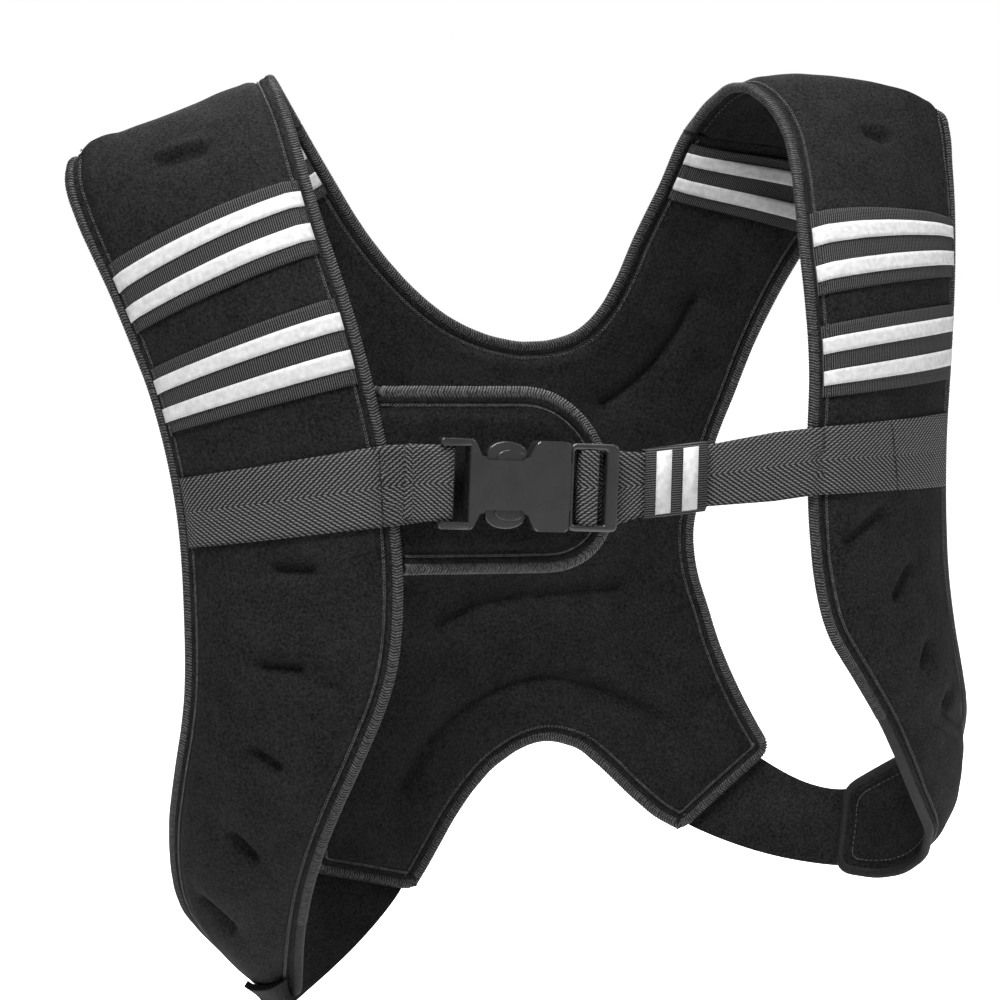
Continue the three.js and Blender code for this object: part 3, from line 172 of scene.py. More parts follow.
class Graph:
    """A node tree with short calls to add and link nodes."""

    def __init__(self, tree: bpy.types.NodeTree) -> None:
        self.tree = tree

    def add(self, kind: str, inputs: dict | None = None, **settings) -> bpy.types.Node:
        """Adds a node.

        Args:
            kind: The node's type name.
            inputs: Input name or index to a value or to a socket that is linked.
            **settings: Properties of the node.

        Returns:
            The new node.
        """
        node = self.tree.nodes.new(kind)
        for key, value in settings.items():
            setattr(node, key, value)
        for key, value in (inputs or {}).items():
            if isinstance(value, bpy.types.NodeSocket):
                self.tree.links.new(value, node.inputs[key])
            else:
                node.inputs[key].default_value = value
        return node

    def math(self, operation: str, *values, clamp: bool = False) -> bpy.types.NodeSocket:
        """Returns the result of a math node on values or sockets."""
        node = self.add("ShaderNodeMath", dict(enumerate(values)), operation=operation, use_clamp=clamp)
        return node.outputs[0]

    def noise(self, vector, scale: float, detail: float = 2.0, roughness: float = 0.5):
        """Returns a noise value of a point in millimetres, with features 1 / scale wide."""
        inputs = {"Vector": vector, "Scale": scale, "Detail": detail, "Roughness": roughness}
        return self.add("ShaderNodeTexNoise", inputs).outputs["Fac"]

    def ramp(self, value, stops: list[tuple[float, tuple]]) -> bpy.types.NodeSocket:
        """Returns the colour of a ramp at a value."""
        node = self.add("ShaderNodeValToRGB", {"Fac": value})
        elements = node.color_ramp.elements
        while len(elements) < len(stops):
            elements.new(0.5)
        for element, (position, color) in zip(elements, stops):
            element.position = position
            element.color = (*color, 1.0)
        return node.outputs["Color"]


def new_group(name: str, outputs: tuple[str, ...]) -> tuple[Graph, bpy.types.NodeSocket, bpy.types.Node]:
    """Makes a shader node group that reads a point in millimetres.

    Args:
        name: The group's name.
        outputs: Names of its number outputs.

    Returns:
        The group's graph, the point's socket and the output node.
    """
    tree = bpy.data.node_groups.new(name, "ShaderNodeTree")
    tree.interface.new_socket("Point", in_out="INPUT", socket_type="NodeSocketVector")
    for output in outputs:
        tree.interface.new_socket(output, in_out="OUTPUT", socket_type="NodeSocketFloat")
    graph = Graph(tree)
    start = graph.add("NodeGroupInput")
    end = graph.add("NodeGroupOutput")
    return graph, start.outputs["Point"], end


def knit_group() -> bpy.types.NodeTree:
    """Returns the fine knit face of neoprene: its height and a cloudy tone."""
    graph, point, end = new_group("knit_face", ("Height", "Tone"))
    loops = graph.add("ShaderNodeTexVoronoi", {"Vector": point, "Scale": 1.5}).outputs["Distance"]
    fine = graph.noise(point, 1.1, 3.0, 0.6)
    cloud = graph.noise(point, 0.05, 4.0, 0.6)
    grain = graph.noise(point, 0.7, 2.0, 0.7)
    height = graph.math("ADD", graph.math("MULTIPLY", loops, 0.12), graph.math("MULTIPLY", fine, 0.3))
    mixed = graph.math("ADD", graph.math("MULTIPLY", cloud, 0.3), graph.math("MULTIPLY", grain, 0.9))
    tone = graph.math("SUBTRACT", mixed, 0.12)
    graph.tree.links.new(height, end.inputs["Height"])
    graph.tree.links.new(tone, end.inputs["Tone"])
    return graph.tree


def rib_group() -> bpy.types.NodeTree:
    """Returns the ribs of a woven tape, across its length."""
    graph, point, end = new_group("tape_ribs", ("Height", "Tone"))
    split = graph.add("ShaderNodeSeparateXYZ", {0: point})
    wander = graph.math("MULTIPLY", graph.noise(point, 0.35, 2.0), 0.5)
    along = graph.math("MULTIPLY", graph.math("ADD", split.outputs[0], wander), math.tau / 1.15)
    yarn = graph.math("MULTIPLY", graph.math("ADD", split.outputs[1], wander), math.tau / 1.9)
    rib = graph.math("MULTIPLY_ADD", graph.math("SINE", along), 0.5, 0.5)
    bead = graph.math("MULTIPLY_ADD", graph.math("SINE", yarn), 0.5, 0.5)
    height = graph.math("ADD", graph.math("MULTIPLY", rib, 0.26), graph.math("MULTIPLY", bead, 0.1))
    speck = graph.math("MULTIPLY", graph.noise(point, 0.9, 3.0), 0.35)
    tone = graph.math("ADD", graph.math("MULTIPLY", rib, 0.65), speck)
    graph.tree.links.new(height, end.inputs["Height"])
    graph.tree.links.new(tone, end.inputs["Tone"])
    return graph.tree


def herringbone_group() -> bpy.types.NodeTree:
    """Returns the chevrons of herringbone webbing that meet on its centre line."""
    graph, point, end = new_group("herringbone", ("Height", "Tone"))
    split = graph.add("ShaderNodeSeparateXYZ", {0: point})
    wander = graph.math("MULTIPLY", graph.noise(point, 0.18, 2.0), 0.9)
    side = graph.math("ABSOLUTE", split.outputs[1])
    slope = graph.math("ADD", graph.math("MULTIPLY", side, 1.33), wander)
    phase = graph.math("MULTIPLY", graph.math("ADD", split.outputs[0], slope), math.tau / 3.05)
    twill = graph.math("MULTIPLY_ADD", graph.math("SINE", phase), 0.5, 0.5)
    warp = graph.math("MULTIPLY", split.outputs[1], math.tau / 1.25)
    bead = graph.math("MULTIPLY_ADD", graph.math("SINE", warp), 0.3, 0.7)
    weave = graph.math("MULTIPLY", twill, bead)
    speck = graph.math("MULTIPLY", graph.noise(point, 1.2, 2.0), 0.3)
    tone = graph.math("ADD", graph.math("MULTIPLY", weave, 0.8), speck)
    graph.tree.links.new(graph.math("MULTIPLY", weave, 0.5), end.inputs["Height"])
    graph.tree.links.new(tone, end.inputs["Tone"])
    return graph.tree


def thread_group() -> bpy.types.NodeTree:
    """Returns the twist of sewing thread: a fine uneven height and a tone."""
    graph, point, end = new_group("thread_twist", ("Height", "Tone"))
    fine = graph.noise(point, 2.2, 2.0)
    tone = graph.noise(point, 0.6, 3.0)
    graph.tree.links.new(graph.math("MULTIPLY", fine, 0.12), end.inputs["Height"])
    graph.tree.links.new(tone, end.inputs["Tone"])
    return graph.tree


def moulded_group() -> bpy.types.NodeTree:
    """Returns the faint grain of a moulded plastic face."""
    graph, point, end = new_group("moulded_grain", ("Height", "Tone"))
    fine = graph.noise(point, 2.6, 3.0, 0.6)
    cloud = graph.noise(point, 0.09, 3.0)
    graph.tree.links.new(graph.math("MULTIPLY", fine, 0.02), end.inputs["Height"])
    graph.tree.links.new(cloud, end.inputs["Tone"])
    return graph.tree


def reflective_group() -> bpy.types.NodeTree:
    """Returns the faint cells and soiling of a reflective strip."""
    graph, point, end = new_group("reflective_cells", ("Height", "Tone"))
    cells = graph.add("ShaderNodeTexVoronoi", {"Vector": point, "Scale": 0.8}).outputs["Distance"]
    wrinkle = graph.noise(point, 0.22, 3.0)
    height = graph.math("ADD", graph.math("MULTIPLY", cells, 0.03), graph.math("MULTIPLY", wrinkle, 0.35))
    graph.tree.links.new(height, end.inputs["Height"])
    graph.tree.links.new(graph.noise(point, 0.35, 4.0), end.inputs["Tone"])
    return graph.tree


@dataclass(frozen=True)
class Finish:
    """A material: its pattern, its two tones and its surface."""

    name: str
    slot: str
    pattern: str
    dark: tuple[float, float, float]
    light: tuple[float, float, float]
    roughness: tuple[float, float]
    sheen: float = 0.0
    specular: float = 0.4
    ribbon: bool = False


NEOPRENE = Finish("neoprene", "neoprene", "knit", (0.001, 0.001, 0.001), (0.017, 0.017, 0.017), (0.7, 0.9), 0.0, 0.1)
BINDING = Finish("edge_binding", "edging", "knit", (0.0025, 0.0025, 0.0025), (0.013, 0.013, 0.013), (0.55, 0.75), 0.0, 0.2)
THREAD = Finish("edging_thread", "edging", "thread", (0.008, 0.008, 0.008), (0.085, 0.085, 0.085), (0.4, 0.6), 0.0, 0.4)
TAPE = Finish("ribbed_tape", "tape", "rib", (0.003, 0.003, 0.003), (0.06, 0.06, 0.06), (0.65, 0.85), 0.0, 0.15, True)
WEBBING = Finish("webbing", "webbing", "herringbone", (0.002, 0.002, 0.002), (0.12, 0.12, 0.12), (0.5, 0.75), 0.0, 0.2, True)
PLASTIC = Finish("satin_plastic", "plastic", "moulded", (0.01, 0.01, 0.01), (0.018, 0.018, 0.018), (0.22, 0.32), 0.0, 0.6)
REFLECTIVE = Finish("reflective", "reflective", "reflective", (0.36, 0.36, 0.36), (0.5, 0.5, 0.5), (0.45, 0.6), 0.0, 0.3)
PATTERNS = {
    "knit": knit_group,
    "rib": rib_group,
    "herringbone": herringbone_group,
    "thread": thread_group,
    "moulded": moulded_group,
    "reflective": reflective_group,
}


class Wardrobe:
    """Makes each finish's material once."""

    def __init__(self) -> None:
        self.groups = {name: build() for name, build in PATTERNS.items()}
        self.made: dict[str, bpy.types.Material] = {}

    def material(self, finish: Finish) -> bpy.types.Material:
        """Returns the material of a finish, made at its first use.

        Args:
            finish: The finish wanted.

        Returns:
            The material.
        """
        if finish.name not in self.made:
            self.made[finish.name] = self._make(finish)
        return self.made[finish.name]

    def _make(self, finish: Finish) -> bpy.types.Material:
        material = bpy.data.materials.new(finish.name)
        material.use_nodes = True
        graph = Graph(material.node_tree)
        shader = material.node_tree.nodes["Principled BSDF"]
        if finish.ribbon:
            place = graph.add("ShaderNodeUVMap", uv_map="ribbon").outputs["UV"]
        else:
            place = graph.add("ShaderNodeTexCoord").outputs["Object"]
        scale = 1.0 if finish.ribbon else 1.0 / MM
        point = graph.add("ShaderNodeVectorMath", {0: place, "Scale": scale}, operation="SCALE").outputs[0]
        group = graph.add("ShaderNodeGroup", node_tree=self.groups[finish.pattern])
        graph.tree.links.new(point, group.inputs["Point"])
        tone = group.outputs["Tone"]
        color = graph.ramp(tone, [(0.3, finish.dark), (0.75, finish.light)])
        rough = graph.add("ShaderNodeMapRange", {"Value": tone, "To Min": finish.roughness[1], "To Max": finish.roughness[0]})
        bump = graph.add("ShaderNodeBump", {"Height": group.outputs["Height"], "Distance": MM, "Strength": 1.0})
        links = {"Base Color": color, "Roughness": rough.outputs[0], "Normal": bump.outputs["Normal"]}
        for key, socket in links.items():
            graph.tree.links.new(socket, shader.inputs[key])
        shader.inputs["Specular IOR Level"].default_value = finish.specular
        shader.inputs["Sheen Weight"].default_value = finish.sheen
        shader.inputs["Sheen Roughness"].default_value = 0.45
        return material


class Workshop:
    def __init__(self, nodes: dict[str, bpy.types.Object]) -> None:
        self.nodes = nodes
        self.wardrobe = Wardrobe()

    def copy_node(self, *names: str) -> bmesh.types.BMesh:
        """Returns a merged copy of CAD nodes' meshes."""
        bm = bmesh.new()
        for name in names:
            bm.from_mesh(self.nodes[name].data)
        bmesh.ops.remove_doubles(bm, verts=bm.verts, dist=0.02 * MM)
        bmesh.ops.recalc_face_normals(bm, faces=bm.faces)
        return bm

    def quads(self, name: str) -> bmesh.types.BMesh:
        """Returns a CAD node's mesh with its triangles joined in pairs."""
        bm = self.copy_node(name)
        join_quads(bm)
        return bm

    def tree(self, name: str) -> BVHTree:
        """Returns a search tree of a CAD node's surface."""
        bm = self.copy_node(name)
        found = BVHTree.FromBMesh(bm)
        bm.free()
        return found

    def piece(self, name: str, bm: bmesh.types.BMesh, finish: Finish, stands_for: tuple[str, ...] = ()) -> bpy.types.Object:
        """Makes a piece that rides on the vest.

        Args:
            name: The piece's name.
            bm: Its mesh, which is freed.
            finish: Its finish.
            stands_for: CAD nodes that it replaces.

        Returns:
            The new object.
        """
        mesh = bpy.data.meshes.new(name)
        for face in bm.faces:
            face.smooth = True
        bm.to_mesh(mesh)
        bm.free()
        return self.adopt(name, mesh, finish, stands_for)

    def adopt(self, name: str, mesh: bpy.types.Mesh, finish: Finish, stands_for: tuple[str, ...] = ()) -> bpy.types.Object:
        """Makes a piece of a finished mesh, as piece() does."""
        obj = bpy.data.objects.new(name, mesh)
        bpy.context.collection.objects.link(obj)
        mesh.materials.append(self.wardrobe.material(finish))
        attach(obj, "root")
        if stands_for:
            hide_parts(*stands_for)
        return obj


def join_quads(bm: bmesh.types.BMesh) -> None:
    """Joins a mesh's triangles in pairs."""
    wide = math.radians(75)
    bmesh.ops.join_triangles(bm, faces=bm.faces, angle_face_threshold=wide, angle_shape_threshold=math.pi)


def apply_modifiers(obj: bpy.types.Object) -> None:
    """Replaces an object's mesh by the one that its modifiers make."""
    graph = bpy.context.evaluated_depsgraph_get()
    mesh = bpy.data.meshes.new_from_object(obj.evaluated_get(graph))
    obj.modifiers.clear()
    obj.data = mesh


def subdivide(obj: bpy.types.Object, levels: int) -> None:
    """Applies a subdivision surface."""
    modifier = obj.modifiers.new("subdivision", "SUBSURF")
    modifier.levels = levels
    modifier.render_levels = levels
    apply_modifiers(obj)


def weigh_normals(obj: bpy.types.Object) -> None:
    """Keeps an object's large faces flat in the shading of its rounded edges."""
    modifier = obj.modifiers.new("normals", "WEIGHTED_NORMAL")
    modifier.weight = 100
    apply_modifiers(obj)


def positions(mesh: bpy.types.Mesh) -> np.ndarray:
    """Returns a mesh's vertex positions, one row each."""
    values = np.empty(len(mesh.vertices) * 3)
    mesh.vertices.foreach_get("co", values)
    return values.reshape(-1, 3)


def normals_of(mesh: bpy.types.Mesh) -> np.ndarray:
    """Returns a mesh's vertex normals, one row each."""
    values = np.empty(len(mesh.vertices) * 3)
    mesh.vertices.foreach_get("normal", values)
    return values.reshape(-1, 3)


def set_positions(mesh: bpy.types.Mesh, values: np.ndarray) -> None:
    """Moves a mesh's vertices to new positions."""
    mesh.vertices.foreach_set("co", values.ravel())
    mesh.update()


def nearest_on_line(points: np.ndarray, line: np.ndarray) -> np.ndarray:
    """Returns each point's distance to a polyline of closely spaced points."""
    best = np.full(len(points), np.inf)
    for start, end in zip(line[:-1], line[1:]):
        way = end - start
        share = np.clip(((points - start) @ way) / max(way @ way, 1e-12), 0, 1)
        gap = points - (start + share[:, None] * way)
        best = np.minimum(best, np.einsum("ij,ij->i", gap, gap))
    return np.sqrt(best)


class EdgePath:
    """Centre line of a bound edge, with the way out of the edge and the normal at each place."""

    def __init__(self, shop: Workshop, node: str, panel: BVHTree) -> None:
        bead = shop.copy_node(node)
        layers = walk_rings(bead)
        self.centres = np.array([np.mean([np.array(v.co) for v in ring], axis=0) for ring in layers])
        bead.free()
        steps = np.linalg.norm(np.diff(self.centres, axis=0), axis=1)
        self.run = np.concatenate([[0.0], np.cumsum(steps)])
        self.length = float(self.run[-1])
        outs = []
        for centre in self.centres:
            found = panel.find_nearest(Vector(centre))[0]
            outs.append(np.array((Vector(centre) - found).normalized()))
        self.outs = np.array(outs)

    def sample(self, spacing: float, smooth: int = 5) -> tuple[np.ndarray, np.ndarray, np.ndarray, np.ndarray]:
        """Returns centres, tangents, ways out and normals at an even spacing in metres."""
        count = max(int(self.length / spacing), 2)
        places = np.linspace(0, self.length, count)
        centres = np.stack([np.interp(places, self.run, self.centres[:, k]) for k in range(3)], axis=1)
        outs = np.stack([np.interp(places, self.run, self.outs[:, k]) for k in range(3)], axis=1)
        kernel = np.ones(smooth) / smooth
        half = smooth // 2
        for values in (centres, outs):
            for k in range(3):
                padded = np.pad(values[:, k], half, mode="edge")
                values[:, k] = np.convolve(padded, kernel, mode="valid")
        tangents = np.gradient(centres, axis=0)
        tangents /= np.linalg.norm(tangents, axis=1)[:, None]
        centres[0] -= tangents[0] * END_REACH * MM
        centres[-1] += tangents[-1] * END_REACH * MM
        outs -= np.einsum("ij,ij->i", outs, tangents)[:, None] * tangents
        outs /= np.linalg.norm(outs, axis=1)[:, None]
        normals = np.cross(tangents, outs)
        away = centres - np.stack([centres[:, 0] * 0.55, np.zeros(count), np.minimum(centres[:, 2], -0.12)], axis=1)
        flip = np.sign(np.median(np.einsum("ij,ij->i", normals, away)))
        return centres, tangents, outs, normals * flip


def walk_rings(bm: bmesh.types.BMesh) -> list[list[bmesh.types.BMVert]]:
    """Walks a swept solid from one end to the other.

    Args:
        bm: The solid's mesh.

    Returns:
        Its vertices ring by ring in the longest walk, none where the solid has no ends.
    """
    seen = set()
    best = []
    total = len(bm.verts)
    for face in bm.faces:
        if face in seen:
            continue
        patch = _smooth_patch(face)
        seen |= patch
        corners = {vert for part in patch for vert in part.verts}
        if total % len(corners) == 0 and total // len(corners) > len(best):
            best = _layers(list(corners), total) or best
    return best


def _smooth_patch(face: bmesh.types.BMFace) -> set[bmesh.types.BMFace]:
    """Returns the faces that a face runs on into without a sharp edge."""
    patch = {face}
    open_faces = [face]
    while open_faces:
        for edge in open_faces.pop().edges:
            for other in edge.link_faces:
                if other not in patch and edge.calc_face_angle(math.pi) < SHARP:
                    patch.add(other)
                    open_faces.append(other)
    return patch


def _layers(cap: list, total: int) -> list[list]:
    """Returns the vertices ring by ring from a cap, none where a ring differs from the cap in size."""
    seen = set(cap)
    layers = [cap]
    while len(seen) < total:
        ring = {edge.other_vert(v) for v in layers[-1] for edge in v.link_edges} - seen
        if len(ring) != len(cap):
            return []
        layers.append(list(ring))
        seen |= ring
    return layers


def tube_mesh(name: str, centres: np.ndarray, side_a: np.ndarray, side_b: np.ndarray, closed: bool) -> bpy.types.Mesh:
    """Makes many thin tubes at once.

    Args:
        name: The mesh's name.
        centres: Tubes by points by three.
        side_a: First half-width direction at each point, scaled to the radius.
        side_b: Second half-width direction at each point, scaled to the radius.
        closed: Whether each tube runs back into its start.

    Returns:
        The mesh.
    """
    count, points, _ = centres.shape
    ring = np.stack([centres + side_a, centres + side_b, centres - side_a, centres - side_b], axis=2)
    verts = ring.reshape(-1, 3)
    index = np.arange(count * points * 4).reshape(count, points, 4)
    after = np.roll(index, -1, axis=1) if closed else index[:, 1:]
    before = index if closed else index[:, :-1]
    quads = np.stack([before, np.roll(before, -1, axis=2), np.roll(after, -1, axis=2), after], axis=-1)
    faces = [quads.reshape(-1, 4)]
    if not closed:
        faces += [index[:, 0, ::-1], index[:, -1, :]]
    return mesh_from(name, verts, np.concatenate(faces))


def mesh_from(name: str, verts: np.ndarray, quads: np.ndarray) -> bpy.types.Mesh:
    """Returns a smooth mesh of four-cornered faces."""
    mesh = bpy.data.meshes.new(name)
    mesh.vertices.add(len(verts))
    mesh.vertices.foreach_set("co", verts.ravel())
    mesh.loops.add(quads.size)
    mesh.loops.foreach_set("vertex_index", quads.ravel().astype(np.int32))
    mesh.polygons.add(len(quads))
    mesh.polygons.foreach_set("loop_start", np.arange(0, quads.size, 4, dtype=np.int32))
    mesh.update(calc_edges=True)
    mesh.polygons.foreach_set("use_smooth", np.ones(len(quads), dtype=bool))
    mesh.validate()
    bm = bmesh.new()
    bm.from_mesh(mesh)
    bmesh.ops.recalc_face_normals(bm, faces=bm.faces)
    bm.to_mesh(mesh)
    bm.free()
    return mesh


@dataclass(frozen=True)
class PanelSize:
    """Sizes in millimetres of what is sewn into a panel."""

    hold_edge: float = 9.0
    swell: float = 3.2
    gutter_inset: float = 4.9
    gutter_depth: float = 1.3
    seam_inset: float = 8.0
    seam_depth: float = 0.6
    seam_width: float = 0.9
    roll_height: float = 0.6
    lumps: float = 0.7
    levels: int = 2


@dataclass
class Panel:
    """A padded panel that grows from its CAD solid."""

    shop: Workshop
    node: str
    edges: list[EdgePath]
    size: PanelSize
    dents: tuple[Dent, ...] = ()
    seams: tuple[tuple[tuple[float, float], ...], ...] = ()
    flat_nodes: tuple[str, ...] = ()

    def start(self) -> None:
        """Makes the panel's mesh, ready for the cloth simulation."""
        self.old = self.shop.tree(self.node)
        bm = self.shop.quads(self.node)
        crease = bm.edges.layers.float.new("crease_edge")
        for edge in bm.edges:
            if len(edge.link_faces) == 2 and edge.calc_face_angle(0) > math.radians(50):
                middle = (edge.verts[0].co + edge.verts[1].co) / 2
                edge[crease] = 0.55 if self._is_bound(middle) else 1.0
        self.obj = self.shop.piece(self.node + "_padding", bm, NEOPRENE, (self.node,))
        subdivide(self.obj, self.size.levels)

    def _is_bound(self, point: Vector) -> bool:
        """Returns whether a bound edge runs past a point."""
        return min(np.min(np.linalg.norm(edge.centres - np.array(point), axis=1)) for edge in self.edges) < 14 * MM

    def edge_distance(self, points: np.ndarray) -> np.ndarray:
        """Returns each point's distance to the nearest bound edge, in millimetres."""
        lines = [nearest_on_line(points, edge.sample(6 * MM)[0]) for edge in self.edges]
        return np.min(lines, axis=0) / MM

    def hold(self) -> np.ndarray:
        """Returns how firmly each vertex is held still, from 0 to 1."""
        points = positions(self.obj.data)
        gap = self.edge_distance(points)
        held = np.clip(1.6 - gap / self.size.hold_edge, 0, 1)
        for name in self.flat_nodes:
            cover = self.shop.tree(name)
            reach = 7 * MM
            for k, point in enumerate(points):
                found = cover.find_nearest(Vector(point), reach)[3]
                if found is not None:
                    held[k] = max(held[k], 1 - max(found / MM - 3, 0) / 4)
        return held

    def add_cloth(self) -> None:
        """Adds the cloth simulation that swells the padding."""
        group = self.obj.vertex_groups.new(name="hold")
        for k, weight in enumerate(self.hold()):
            if weight > 0:
                group.add([k], float(weight), "REPLACE")
        self.before = positions(self.obj.data)
        modifier = self.obj.modifiers.new("cloth", "CLOTH")
        cloth = modifier.settings
        cloth.quality = 4
        cloth.mass = 0.25
        cloth.tension_stiffness = 12
        cloth.compression_stiffness = 12
        cloth.bending_stiffness = 1.2
        cloth.use_pressure = True
        cloth.uniform_pressure_force = 4.0
        cloth.vertex_group_mass = "hold"
        cloth.effector_weights.gravity = 0
        modifier.collision_settings.use_collision = False
        modifier.point_cache.frame_start = 1
        modifier.point_cache.frame_end = 20

    def take_cloth(self) -> None:
        """Keeps the simulated shape, with each vertex's movement capped."""
        graph = bpy.context.evaluated_depsgraph_get()
        mesh = self.obj.evaluated_get(graph).to_mesh()
        moved = positions(mesh) - self.before
        self.obj.evaluated_get(graph).to_mesh_clear()
        length = np.linalg.norm(moved, axis=1)
        cap = self.size.swell * MM
        share = cap * np.tanh(length / cap) / np.maximum(length, 1e-9)
        self.obj.modifiers.clear()
        self.obj.vertex_groups.clear()
        set_positions(self.obj.data, self.before + moved * share[:, None])
        log.info("%s moved by up to %.1f mm", self.node, length.max() / MM)

    def finish(self, view: PhotoView) -> None:
        """Refines the panel and presses its seams and bar tacks in.

        Args:
            view: The photograph's view, which places the bar tacks.
        """
        subdivide(self.obj, 1)
        mesh = self.obj.data
        points = positions(mesh)
        normals = normals_of(mesh)
        gap = self.edge_distance(points)
        size = self.size
        sewn = -size.seam_depth * np.exp(-(((gap - size.seam_inset) / size.seam_width) ** 2))
        sewn -= size.gutter_depth * np.exp(-(((gap - size.gutter_inset) / 1.2) ** 2))
        roll = size.roll_height * np.exp(-(((gap - size.seam_inset - 5) / 3.0) ** 2))
        height = sewn + roll + self._lumps(points, gap)
        tree = BVHTree.FromPolygons([Vector(p) for p in points], [tuple(f.vertices) for f in mesh.polygons])
        height -= self._dents(points, normals, tree, view)
        height -= self._seams(points, normals, tree, view)
        set_positions(mesh, points + normals * (height * MM)[:, None])
        polygons = [tuple(face.vertices) for face in mesh.polygons]
        self.surface = BVHTree.FromPolygons([vert.co.copy() for vert in mesh.vertices], polygons)

    def _lumps(self, points: np.ndarray, gap: np.ndarray) -> np.ndarray:
        """Returns the soft unevenness of the filling, none near the edges, in millimetres."""
        inside = np.clip((gap - 12) / 16, 0, 1)
        lumps = np.array([noise.noise(Vector(point) * 28) + 0.5 * noise.noise(Vector(point) * 75) for point in points])
        return self.size.lumps * inside * lumps

    def _dents(self, points: np.ndarray, normals: np.ndarray, tree: BVHTree, view: PhotoView) -> np.ndarray:
        """Returns how deep the bar tacks press each vertex in, in millimetres."""
        depth = np.zeros(len(points))
        basis = view.basis()
        for dent in self.dents:
            start, way = view.ray(dent.x, dent.y)
            place, normal = tree.ray_cast(start, way)[:2]
            if place is None:
                log.warning("%s: no surface at %s", self.node, (dent.x, dent.y))
                continue
            turn = math.radians(dent.turn)
            along = basis @ Vector((math.cos(turn), -math.sin(turn), 0))
            along = (along - normal * along.dot(normal)).normalized()
            across = np.array(normal.cross(along))
            offset = (points - np.array(place)) / MM
            a = offset @ np.array(along)
            b = offset @ across
            facing = np.clip((normals @ np.array(normal)) * 2 - 0.4, 0, 1)
            reach = dent.length * 0.27
            soft = np.exp(-((a / (reach + 5)) ** 2) - (b / dent.spread) ** 2) * 0.8
            if dent.slot:
                ends = np.clip((reach - np.abs(a)) / 4, 0, 1)
                soft += ends * np.exp(-((b / 3.0) ** 2)) * 1.35
                soft -= dent.lip * ends * np.exp(-(((b - 6.5) / 2.8) ** 2))
            near = np.abs(offset @ np.array(normal)) < 18
            depth += dent.depth * soft * facing * near
        return depth

    def _seams(self, points: np.ndarray, normals: np.ndarray, tree: BVHTree, view: PhotoView) -> np.ndarray:
        """Returns how deep the sewn channels press the inner face in, in millimetres."""
        depth = np.zeros(len(points))
        for pixels in self.seams:
            line = []
            for x, y in pixels:
                start, way = view.ray(x, y)
                place = tree.ray_cast(start, way)[0]
                if place is not None:
                    line.append(np.array(place))
            if len(line) < 3:
                continue
            gap = nearest_on_line(points, smooth_line(np.array(line), 40)) / MM
            inner = np.clip(-normals[:, 1] * 2, 0, 1)
            depth += inner * (3.8 * np.exp(-((gap / 3.2) ** 2)) + 3.2 * np.exp(-((gap / 11) ** 2)))
        return depth


def smooth_line(points: np.ndarray, count: int) -> np.ndarray:
    """Returns a polyline resampled evenly and smoothed."""
    run = np.concatenate([[0.0], np.cumsum(np.linalg.norm(np.diff(points, axis=0), axis=1))])
    places = np.linspace(0, run[-1], count)
    line = np.stack([np.interp(places, run, points[:, k]) for k in range(3)], axis=1)
    kernel = np.ones(5) / 5
    for k in range(3):
        line[:, k] = np.convolve(np.pad(line[:, k], 2, mode="edge"), kernel, mode="valid")
    return line


@dataclass(frozen=True)
class EdgeSize:
    """Sizes in millimetres of a bound edge and its stitches."""

    wrap_pitch: float = 1.45
    wrap_radius: float = 0.3
    wrap_half_width: float = 2.95
    wrap_half_height: float = 2.5
    slant: float = 1.1
    wrap_shift: float = -0.35
    core_half_width: float = 2.9
    core_half_height: float = 2.45
    core_shift: float = -0.35
    groove_half_width: float = 2.9
    groove_half_height: float = 1.9
    groove_shift: float = -3.4
    chain_pitch: float = 1.7
    chain_half_width: float = 0.75
    chain_radius: float = 0.26
    chain_inset: float = 6.5
    needle_pitch: float = 3.2
    needle_inset: float = 6.5
    bare_below: float = -1000.0


